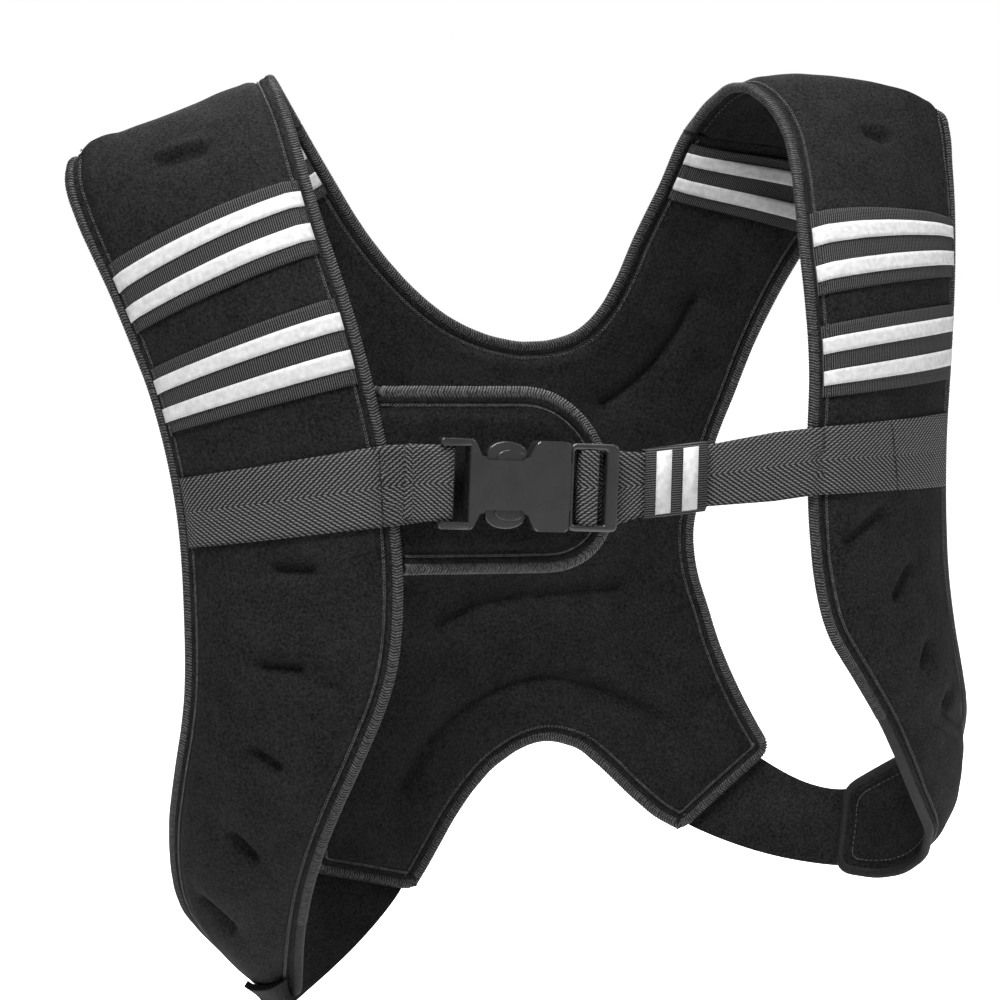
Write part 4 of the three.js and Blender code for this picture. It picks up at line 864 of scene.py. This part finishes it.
class BoundEdge:
    """A bound edge: a core, the overlock thread wound round it and a chain of stitches beside it."""

    def __init__(self, shop: Workshop, node: str, path: EdgePath, surface: BVHTree, size: EdgeSize) -> None:
        self.shop = shop
        self.node = node
        self.path = path
        self.surface = surface
        self.size = size

    def build(self, chain: Face) -> None:
        """Makes the edge's pieces.

        Args:
            chain: The face of the panel that shows the chain; the other gets plain stitches.
        """
        size = self.size
        core = self._tube("core", size.core_shift, size.core_half_width, size.core_half_height)
        self.shop.adopt(self.node + "_core", core, BINDING, (self.node,))
        groove = self._tube("groove", size.groove_shift, size.groove_half_width, size.groove_half_height)
        self.shop.adopt(self.node + "_groove", groove, NEOPRENE)
        self._wraps()
        self._chain(chain)
        self._needle_line(Face.OUTER if chain is Face.INNER else Face.INNER)

    def _tube(self, part: str, shift: float, wide: float, high: float) -> bpy.types.Mesh:
        """Returns an oval tube along the edge, with its shift outwards and half-sizes in millimetres."""
        centres, _, outs, normals = self.path.sample(2.5 * MM)
        sides = 12
        angles = np.linspace(0, math.tau, sides, endpoint=False)
        ring = (
            (centres + outs * (shift * MM))[:, None]
            + outs[:, None] * (np.cos(angles)[None, :, None] * wide * MM)
            + normals[:, None] * (np.sin(angles)[None, :, None] * high * MM)
        )
        index = np.arange(ring.shape[0] * sides).reshape(-1, sides)
        turned = np.roll(index, -1, axis=1)
        walls = np.stack([index[:-1], turned[:-1], turned[1:], index[1:]], axis=-1).reshape(-1, 4)
        strips = [(k, k + 1, sides - 2 - k, sides - 1 - k) for k in range(sides // 2 - 1)]
        caps = [index[end][list(strip)] for end in (0, -1) for strip in strips]
        quads = np.concatenate([walls, np.array(caps)])
        return mesh_from(f"{self.node}_{part}", ring.reshape(-1, 3), quads)

    def _wraps(self) -> None:
        size = self.size
        centres, tangents, outs, normals = self.path.sample(size.wrap_pitch * MM, 7)
        shown = centres[:, 2] > size.bare_below * MM
        centres, tangents, outs, normals = (values[shown] for values in (centres, tangents, outs, normals))
        angles = np.linspace(0, math.tau, 12, endpoint=False)
        rng = np.random.default_rng(7)
        wobble = rng.normal(0, 0.12, len(centres))
        cos = np.cos(angles)[None, :, None]
        sin = np.sin(angles)[None, :, None]
        wide = size.wrap_half_width * MM
        high = size.wrap_half_height * MM
        loops = (
            (centres + outs * (size.wrap_shift * MM))[:, None]
            + outs[:, None] * cos * wide
            + normals[:, None] * sin * high
            + tangents[:, None] * ((np.abs(cos) * size.slant + wobble[:, None, None]) * MM)
        )
        radial = outs[:, None] * cos * high + normals[:, None] * sin * wide
        radial /= np.linalg.norm(radial, axis=2)[:, :, None]
        radius = size.wrap_radius * MM
        along = np.broadcast_to(tangents[:, None], loops.shape)
        mesh = tube_mesh(self.node + "_overlock", loops, radial * radius * 0.8, along * radius * 1.25, True)
        self.shop.adopt(self.node + "_overlock", mesh, THREAD)

    def _seats(self, face: Face, pitch: float, inset: float) -> tuple[np.ndarray, ...]:
        """Returns places on the panel beside the edge with the ways along, across and off it."""
        centres, tangents, outs, normals = self.path.sample(pitch * MM, 7)
        rows = []
        for centre, tangent, out, normal in zip(centres, tangents, outs, normals):
            off = normal * face.value
            start = Vector(centre - out * inset * MM + off * 9 * MM)
            place, lifted = self.surface.ray_cast(start, Vector(-off), 16 * MM)[:2]
            if place is None:
                continue
            lift = np.array(lifted) * (1 if np.dot(lifted, off) > 0 else -1)
            rows.append((np.array(place), tangent, np.cross(tangent, lift), lift))
        return tuple(np.array(values) for values in zip(*rows))

    def _chain(self, face: Face) -> None:
        size = self.size
        place, along, across, lift = self._seats(face, size.chain_pitch, size.chain_inset)
        tubes, side_a, side_b = [], [], []
        for sign in (-1, 1):
            for share, rise, radius in ((0.0, 0.1, 0.5), (0.5, 0.42, 1.0), (1.0, 0.1, 0.45)):
                spread = sign * size.chain_half_width * share
                ahead = size.chain_pitch * 1.15 * share
                tubes.append(place + (along * ahead + across * spread + lift * rise) * MM)
                thick = radius * size.chain_radius * MM
                side_a.append(lift * thick)
                side_b.append(across * thick * 0.9 - along * sign * thick * 0.7)
        shape = (2, 3, len(place), 3)
        arrays = [np.array(v).reshape(shape).transpose(0, 2, 1, 3).reshape(-1, 3, 3) for v in (tubes, side_a, side_b)]
        mesh = tube_mesh(self.node + "_chain", *arrays, False)
        self.shop.adopt(self.node + "_chain", mesh, THREAD)

    def _needle_line(self, face: Face) -> None:
        size = self.size
        place, along, _, lift = self._seats(face, size.needle_pitch, size.needle_inset)
        mesh = dashes(self.node + "_stitches", place, along, lift, size.needle_pitch * 0.72, 0.34)
        self.shop.adopt(self.node + "_stitches", mesh, THREAD)


def dashes(name: str, place: np.ndarray, along: np.ndarray, lift: np.ndarray, length: float, radius: float) -> bpy.types.Mesh:
    """Returns a line of short stitches on a surface, sizes in millimetres."""
    across = np.cross(along, lift)
    spans = ((-0.5, -0.15, 0.4), (-0.25, 0.2, 1.0), (0.25, 0.2, 1.0), (0.5, -0.15, 0.4))
    tubes = np.stack([place + (along * share * length + lift * rise) * MM for share, rise, _ in spans], axis=1)
    side_a = np.stack([lift * radius * thick * MM for _, _, thick in spans], axis=1)
    side_b = np.stack([across * radius * thick * MM for _, _, thick in spans], axis=1)
    return tube_mesh(name, tubes, side_a, side_b, False)


class Ribbon:
    """A tape, strip or webbing laid on panels, from its CAD solid."""

    def __init__(
        self, shop: Workshop, node: str, finish: Finish, cuts: int = 3, flip: float = 1.0, upright: bool = False
    ) -> None:
        """Makes the ribbon with a map of millimetres along and across it.

        Args:
            shop: Where it is made.
            node: Its CAD node.
            finish: Its finish.
            cuts: How many times each edge is cut.
            flip: 1 or -1, which way its pattern runs.
            upright: Whether its length stands upright and runs back into its start.
        """
        bm = shop.copy_node(node)
        layer = bm.loops.layers.uv.new("ribbon")
        places = self._upright(bm) if upright else self._along_rings(walk_rings(bm))
        for face in bm.faces:
            for loop in face.loops:
                run, side = places[loop.vert]
                loop[layer].uv = (run * flip, side)
        join_quads(bm)
        bmesh.ops.subdivide_edges(bm, edges=bm.edges, cuts=cuts, use_grid_fill=True)
        self.obj = shop.piece(node + "_fabric", bm, finish, (node,))

    @staticmethod
    def _along_rings(layers: list[list]) -> dict[bmesh.types.BMVert, tuple[float, float]]:
        """Returns each vertex's place along and across a swept ribbon, in millimetres."""
        places = {}
        run = 0.0
        last = None
        way = None
        for ring in layers:
            middle = sum((vert.co for vert in ring), Vector()) / len(ring)
            run += (middle - last).length / MM if last else 0.0
            last = middle
            far = max(ring, key=lambda vert: (vert.co - middle).length)
            across = (far.co - middle).normalized()
            if way and across.dot(way) < 0:
                across = -across
            way = across
            for vert in ring:
                places[vert] = (run, (vert.co - middle).dot(across) / MM)
        return places

    @staticmethod
    def _upright(bm: bmesh.types.BMesh) -> dict[bmesh.types.BMVert, tuple[float, float]]:
        """Returns each vertex's place on a ribbon that stands upright, in millimetres."""
        return {vert: (vert.co.z / MM, vert.co.x / MM) for vert in bm.verts}

    def settle(self, panel: Panel, near: float = 4.0, far: float = 9.0) -> None:
        """Moves the ribbon with the swollen face of the panel that it lies on.

        Args:
            panel: The panel under it.
            near: Height in millimetres up to which it follows the panel fully.
            far: Height in millimetres from which it is free.
        """
        points = positions(self.obj.data)
        for k, point in enumerate(points):
            place, normal, _, height = panel.old.find_nearest(Vector(point), far * MM)
            if place is None:
                continue
            start = place + normal * 10 * MM
            hit = panel.surface.ray_cast(start, -normal, 20 * MM)[0]
            if hit is None:
                continue
            share = min(max((far - height / MM) / (far - near), 0), 1)
            points[k] += np.array((hit - place) * share)
        set_positions(self.obj.data, points)


@dataclass(frozen=True)
class BuckleSize:
    """Sizes of the buckle in millimetres, from its middle; lengths run along the strap."""

    turn: float = 7.0
    mouth: float = 21.8
    body_left: float = -29.2
    half: float = 22.2
    depth: float = 12.0
    frame_depth: float = 7.0
    loop_left: float = -44.0
    bar_left: float = -41.0
    bar_right: float = -37.8
    notch_left: float = -27.0
    notch_right: float = 4.6
    notch_depth: float = 10.0
    notch_slope: float = 4.6
    frame_right: float = 47.6
    slot_half: float = 18.4
    shoulder: float = 2.4
    slot: float = 5.0
    bar: float = 6.4
    bevel: float = 1.05
    prong_left: float = -20.5
    prong_right: float = 1.0


class Buckle:
    """The fastened side-release buckle, with rounded edges."""

    def __init__(self, shop: Workshop, size: BuckleSize) -> None:
        self.shop = shop
        self.size = size
        turn = math.radians(size.turn)
        self.along = Vector((math.cos(turn), 0, -math.sin(turn)))
        self.through = Vector((0, 1, 0))
        self.across = Vector((math.sin(turn), 0, math.cos(turn)))
        corners = [v.co for v in shop.nodes["buckle_socket"].data.vertices]
        spans = [[axis.dot(co) for co in corners] for axis in (self.along, self.through, self.across)]
        middles = [max(spans[0]) - size.mouth * MM, *((min(s) + max(s)) / 2 for s in spans[1:])]
        self.centre = self.along * middles[0] + self.through * middles[1] + self.across * middles[2]

    def point(self, x: float, y: float, z: float) -> Vector:
        """Returns a place given along, through and across the buckle, in millimetres."""
        return self.centre + (self.along * x + self.through * y + self.across * z) * MM

    def build(self) -> None:
        """Makes both halves."""
        socket = bmesh.new()
        self._body(socket)
        self._loop(socket)
        weigh_normals(self.shop.piece("buckle_socket_shell", socket, PLASTIC, ("buckle_socket",)))
        prongs = bmesh.new()
        self._ladder(prongs)
        self._tabs(prongs)
        weigh_normals(self.shop.piece("buckle_prongs_shell", prongs, PLASTIC, ("buckle_prongs",)))

    def _slab(self, bm: bmesh.types.BMesh, outline: list[tuple[float, float]], front: float, back: float, bevel: float) -> None:
        """Adds a plate of an outline, with its front and back edges rounded."""
        rings = [[bm.verts.new(self.point(x, y, z)) for x, z in outline] for y in (front, back)]
        faces = [bm.faces.new(rings[0]), bm.faces.new(list(reversed(rings[1])))]
        count = len(outline)
        for k in range(count):
            after = (k + 1) % count
            bm.faces.new((rings[0][after], rings[0][k], rings[1][k], rings[1][after]))
        edges = {edge for face in faces for edge in face.edges}
        bmesh.ops.bevel(bm, geom=list(edges), offset=bevel * MM, segments=3, profile=0.5, affect="EDGES", material=-1)

    def _ring_plate(self, bm: bmesh.types.BMesh, outer, inner, front: float, back: float, bevel: float) -> None:
        """Adds a plate with a hole, its edges rounded; both outlines have the same number of points."""
        loops = [
            [bm.verts.new(self.point(x, y, z)) for x, z in outline]
            for y in (front, back)
            for outline in (outer, inner)
        ]
        front_outer, front_inner, back_outer, back_inner = loops
        count = len(outer)
        rims = []
        for k in range(count):
            after = (k + 1) % count
            bm.faces.new((front_outer[k], front_outer[after], front_inner[after], front_inner[k]))
            bm.faces.new((back_outer[after], back_outer[k], back_inner[k], back_inner[after]))
            bm.faces.new((front_outer[after], front_outer[k], back_outer[k], back_outer[after]))
            bm.faces.new((front_inner[k], front_inner[after], back_inner[after], back_inner[k]))
            rims += [(loop[k], loop[after]) for loop in loops]
        edges = [bm.edges.get(pair) for pair in rims]
        bmesh.ops.bevel(bm, geom=edges, offset=bevel * MM, segments=3, profile=0.5, affect="EDGES", material=-1)

    def _body(self, bm: bmesh.types.BMesh) -> None:
        size = self.size
        floor = size.half - size.notch_depth
        top = [
            (size.body_left, size.half), (size.notch_left, size.half), (size.notch_left + size.notch_slope, floor),
            (size.notch_right - size.notch_slope, floor), (size.notch_right, size.half), (size.mouth, size.half),
        ]
        outline = top + [(x, -z) for x, z in reversed(top)]
        radii = [0, 2.2, 3.4, 3.4, 3.4, 2.2]
        self._slab(bm, fillet(outline, radii + radii[::-1]), -size.depth / 2, size.depth / 2, size.bevel)

    def _loop(self, bm: bmesh.types.BMesh) -> None:
        size = self.size
        front = -size.depth / 2 + 0.1
        for sign in (1, -1):
            rail = [
                (size.loop_left, sign * size.half), (size.notch_left - 0.8, sign * size.half),
                (size.notch_left - 0.8, sign * size.slot_half), (size.loop_left, sign * size.slot_half),
            ]
            self._slab(bm, fillet(rail, [1.6, 0, 0, 0.8]), front, size.frame_depth / 2, size.bevel)
        bar = [(size.bar_left, size.slot_half + 1), (size.bar_right, size.slot_half + 1)]
        bar += [(x, -z) for x, z in reversed(bar)]
        self._slab(bm, bar, -1.6, 1.6, 0.8)

    def _ladder(self, bm: bmesh.types.BMesh) -> None:
        size = self.size
        left = size.mouth + 0.4
        slot_left = left + size.shoulder
        bar_left = slot_left + size.slot
        bar_right = bar_left + size.bar
        slot_right = bar_right + size.slot
        outer = rounded_box(left, size.frame_right, size.half - 0.6, 3.4)
        inner = rounded_box(slot_left, slot_right, size.slot_half, 1.2)
        half_depth = size.frame_depth / 2
        self._ring_plate(bm, outer, inner, -half_depth, half_depth, 1.2)
        self._slab(bm, rounded_box(bar_left, bar_right, size.slot_half + 1, 0.4), -1.6, 1.6, 0.8)
        self._slab(bm, rounded_box(left - 6, left + 1, 12.0, 0.5), -half_depth, half_depth, 0.6)

    def _tabs(self, bm: bmesh.types.BMesh) -> None:
        size = self.size
        middle = (size.prong_left + size.prong_right) / 2
        reach = (size.prong_right - size.prong_left) / 2
        low = size.half - size.notch_depth - 1.2
        top = size.half - 0.8
        for sign in (1, -1):
            arc = []
            for k in range(11):
                angle = math.pi * k / 10
                x = middle + reach * math.cos(angle)
                arc.append((x, sign * (low + (top - low) * math.sin(angle) ** 0.6)))
            self._slab(bm, arc, -3.0, 3.0, 0.7)
            ridge = [(x * 0.72 + middle * 0.28 + 2, sign * (low + (abs(z) - low) * 0.62)) for x, z in arc]
            self._slab(bm, ridge, -3.7, 0, 0.5)


def fillet(outline: list[tuple[float, float]], radii: list[float], steps: int = 4) -> list[tuple[float, float]]:
    """Returns a closed outline with each corner rounded by its radius."""
    rounded = []
    count = len(outline)
    for k, radius in enumerate(radii):
        corner = Vector(outline[k])
        if radius == 0:
            rounded.append(outline[k])
            continue
        before = (Vector(outline[k - 1]) - corner).normalized()
        after = (Vector(outline[(k + 1) % count]) - corner).normalized()
        half = before.angle(after) / 2
        reach = radius / math.tan(half)
        start, end = corner + before * reach, corner + after * reach
        for n in range(steps + 1):
            share = n / steps
            rounded.append(tuple(start * (1 - share) ** 2 + corner * 2 * share * (1 - share) + end * share**2))
    return rounded


def rounded_box(left: float, right: float, half: float, radius: float) -> list[tuple[float, float]]:
    """Returns the outline of an upright box round the middle line, with rounded corners."""
    return fillet([(left, half), (right, half), (right, -half), (left, -half)], [radius] * 4)


# Seams across the webbing, between pixels of the photograph
WEBBING_SEAMS = {"left": ((379, 452), (383, 529)), "right": ((892, 425), (898, 489))}
SEAM_STITCHES = 15

# Height in millimetres under which a front edging is bare binding
HEM_STARTS = {"front_edging_left": -415.0, "front_edging_right": -338.0}


class Vest:
    """The whole vest, dressed over its CAD frame."""

    def __init__(self, nodes: dict[str, bpy.types.Object], view: PhotoView) -> None:
        self.shop = Workshop(nodes)
        self.view = view
        self.paths: dict[str, EdgePath] = {}
        self.panels: dict[str, Panel] = {}
        self.tapes: dict[str, list[bpy.types.Object]] = {}

    def build(self) -> None:
        """Makes every piece."""
        self._panels()
        self._tapes()
        self._edges()
        self._webbing()
        self._side_straps()
        Buckle(self.shop, BuckleSize()).build()

    def _edge_nodes(self) -> dict[str, list[str]]:
        edges = {f"front_panel_{side}": [f"front_edging_{side}"] for side in SIDES}
        edges["back_panel"] = ["neck_edging", "arch_edging", "arm_edging_left", "arm_edging_right"]
        edges["buckle_flap"] = ["flap_edging"]
        return edges

    def _panels(self) -> None:
        shop = self.shop
        for panel, edges in self._edge_nodes().items():
            tree = shop.tree(panel)
            for edge in edges:
                self.paths[edge] = EdgePath(shop, edge, tree)
        covers = {
            f"front_panel_{side}": (f"upper_{side}_tape", f"lower_{side}_tape", f"chest_webbing_{side}", f"side_strap_{side}")
            for side in SIDES
        }
        covers["back_panel"] = tuple(f"inner_{side}_tape" for side in SIDES) + tuple(f"side_strap_{side}" for side in SIDES)
        dents = {"front_panel_left": LEFT_DENTS, "front_panel_right": RIGHT_DENTS}
        for name, edges in self._edge_nodes().items():
            flap = name == "buckle_flap"
            size = PanelSize(swell=0.8, lumps=0.3, seam_inset=9.0, seam_depth=0.8) if flap else PanelSize()
            seams = BACK_SEAMS if name == "back_panel" else ()
            paths = [self.paths[edge] for edge in edges]
            panel = Panel(shop, name, paths, size, dents.get(name, ()), seams, covers.get(name, ()))
            panel.start()
            self.panels[name] = panel
        self._simulate()
        for panel in self.panels.values():
            panel.finish(self.view)

    def _simulate(self) -> None:
        """Swells all the padding in one run of the cloth simulation."""
        for panel in self.panels.values():
            panel.add_cloth()
        scene = bpy.context.scene
        for frame in range(1, 21):
            scene.frame_set(frame)
        for panel in self.panels.values():
            panel.take_cloth()
        scene.frame_set(1)

    def _edges(self) -> None:
        for name, edges in self._edge_nodes().items():
            chain = Face.INNER if name == "back_panel" else Face.OUTER
            slanted = name == "buckle_flap"
            size = EdgeSize(slant=1.7, wrap_radius=0.5) if slanted else EdgeSize()
            for edge in edges:
                if edge in HEM_STARTS:
                    size = EdgeSize(bare_below=HEM_STARTS[edge])
                bound = BoundEdge(self.shop, edge, self.paths[edge], self._dressed(name), size)
                bound.build(chain)

    def _dressed(self, panel: str) -> BVHTree:
        """Returns a search tree of a panel with the tapes that are sewn on it."""
        objects = [self.panels[panel].obj, *self.tapes.get(panel, [])]
        corners, polygons = [], []
        for obj in objects:
            first = len(corners)
            corners += [vert.co.copy() for vert in obj.data.vertices]
            polygons += [tuple(first + k for k in face.vertices) for face in obj.data.polygons]
        return BVHTree.FromPolygons(corners, polygons)

    def _tapes(self) -> None:
        for side in SIDES:
            for level in ("upper", "lower", "inner"):
                panel = self.panels["back_panel" if level == "inner" else f"front_panel_{side}"]
                tape = Ribbon(self.shop, f"{level}_{side}_tape", TAPE)
                tape.settle(panel)
                for k in (1, 2):
                    Ribbon(self.shop, f"{level}_{side}_strip_{k}", REFLECTIVE).settle(panel)
                self.tapes.setdefault(panel.node, []).append(tape.obj)

    def _webbing(self) -> None:
        for side in SIDES:
            webbing = Ribbon(self.shop, f"chest_webbing_{side}", WEBBING, 3, -1.0)
            webbing.settle(self.panels[f"front_panel_{side}"])
            self._seam(f"webbing_seam_{side}", webbing.obj, WEBBING_SEAMS[side])
        Ribbon(self.shop, "keeper_loop", TAPE, 2, upright=True)
        for k in (1, 2):
            Ribbon(self.shop, f"keeper_strip_{k}", REFLECTIVE, 1)

    def _seam(self, name: str, cloth: bpy.types.Object, pixels: tuple[tuple[float, float], ...]) -> None:
        """Sews a line of stitches across a piece, between two pixels of the photograph."""
        corners = [vert.co.copy() for vert in cloth.data.vertices]
        tree = BVHTree.FromPolygons(corners, [tuple(face.vertices) for face in cloth.data.polygons])
        start, end = (np.array(pixel) for pixel in pixels)
        places, lifts = [], []
        for share in np.linspace(0, 1, SEAM_STITCHES):
            place, normal = tree.ray_cast(*self.view.ray(*(start + (end - start) * share)))[:2]
            if place is not None:
                places.append(np.array(place))
                lifts.append(np.array(normal))
        along = np.gradient(np.array(places), axis=0)
        length = np.linalg.norm(along, axis=1)
        along /= length[:, None]
        stitch = float(np.median(length)) / MM * 0.75
        mesh = dashes(name, np.array(places), along, np.array(lifts), stitch, 0.45)
        self.shop.adopt(name, mesh, BINDING)

    def _side_straps(self) -> None:
        for side in SIDES:
            SideStrap(self.shop, f"side_strap_{side}", STRAP_WIDENING[side])


class SideStrap:
    """A soft strap at the hem, a little wider on its upper edge than its CAD solid."""

    def __init__(self, shop: Workshop, node: str, widening: tuple[float, float]) -> None:
        """Makes the strap.

        Args:
            shop: Where it is made.
            node: Its CAD node.
            widening: How far in millimetres its upper edge moves up at the back and at the front.
        """
        bm = shop.copy_node(node)
        layers = walk_rings(bm)
        middles = [sum((vert.co for vert in ring), Vector()) / len(ring) for ring in layers]
        if middles[0].y < middles[-1].y:
            layers.reverse()
            middles.reverse()
        for k, (ring, middle) in enumerate(zip(layers, middles)):
            share = k / (len(layers) - 1)
            lift = (widening[0] * (1 - share) + widening[1] * share) * MM
            top = max(ring, key=lambda vert: vert.co.z).co - middle
            across = top.normalized()
            for vert in ring:
                height = (vert.co - middle).dot(across) / top.length
                vert.co += across * lift * max(0.5 + 0.5 * height, 0)
        join_quads(bm)
        crease = bm.edges.layers.float.new("crease_edge")
        for edge in bm.edges:
            if edge.calc_face_angle(0) > math.radians(50):
                edge[crease] = 0.7
        strap = shop.piece(node + "_fabric", bm, NEOPRENE, (node,))
        subdivide(strap, 3)


STRAP_WIDENING = {"left": (14.0, -1.0), "right": (2.0, 12.0)}


def make_studio() -> None:
    """Makes the pale floor, the lights and the world."""
    bm = bmesh.new()
    bmesh.ops.create_grid(bm, x_segments=1, y_segments=1, size=30)
    mesh = bpy.data.meshes.new("floor")
    bm.to_mesh(mesh)
    bm.free()
    floor = bpy.data.objects.new("floor", mesh)
    floor.location = (0, 0, -0.62)
    bpy.context.collection.objects.link(floor)
    paint = bpy.data.materials.new("floor_paint")
    paint.use_nodes = True
    shader = paint.node_tree.nodes["Principled BSDF"]
    shader.inputs["Base Color"].default_value = (0.95, 0.95, 0.95, 1)
    shader.inputs["Roughness"].default_value = 0.9
    shader.inputs["Emission Color"].default_value = (1, 1, 1, 1)
    graph = Graph(paint.node_tree)
    seen = graph.add("ShaderNodeLightPath").outputs["Is Camera Ray"]
    graph.tree.links.new(seen, shader.inputs["Emission Strength"])
    mesh.materials.append(paint)
    world = bpy.data.worlds.new("studio")
    world.use_nodes = True
    graph = Graph(world.node_tree)
    background = world.node_tree.nodes["Background"]
    background.inputs["Color"].default_value = (1, 1, 1, 1)
    seen = graph.add("ShaderNodeLightPath").outputs["Is Camera Ray"]
    strength = graph.add("ShaderNodeMapRange", {"Value": seen, "To Min": 0.3, "To Max": 1.0})
    graph.tree.links.new(strength.outputs[0], background.inputs["Strength"])
    bpy.context.scene.world = world
    for name, place, size, power in (
        ("key", (-0.6, -1.1, 1.7), 0.7, 72),
        ("fill", (1.5, -1.2, 0.6), 1.0, 12),
        ("top", (0.1, 0.1, 1.7), 0.9, 38),
        ("back", (0.2, 1.6, 0.8), 1.4, 20),
    ):
        data = bpy.data.lights.new(name, "AREA")
        data.size = size
        data.energy = power
        light = bpy.data.objects.new(name, data)
        light.location = place
        aim = Vector((0, 0, -0.2)) - Vector(place)
        light.rotation_euler = aim.to_track_quat("-Z", "Y").to_euler()
        bpy.context.collection.objects.link(light)
    bpy.context.scene.view_settings.view_transform = "Standard"


def clear_scene() -> None:
    """Removes what Blender starts with."""
    for obj in list(bpy.data.objects):
        bpy.data.objects.remove(obj)


def main() -> None:
    """Dresses the vest and sets the scene."""
    logging.basicConfig(level=logging.INFO, format="%(name)s: %(message)s")
    clear_scene()
    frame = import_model()
    view = PhotoView()
    view.make_camera()
    make_studio()
    Vest(frame["nodes"], view).build()


if __name__ == "__main__":
    main()
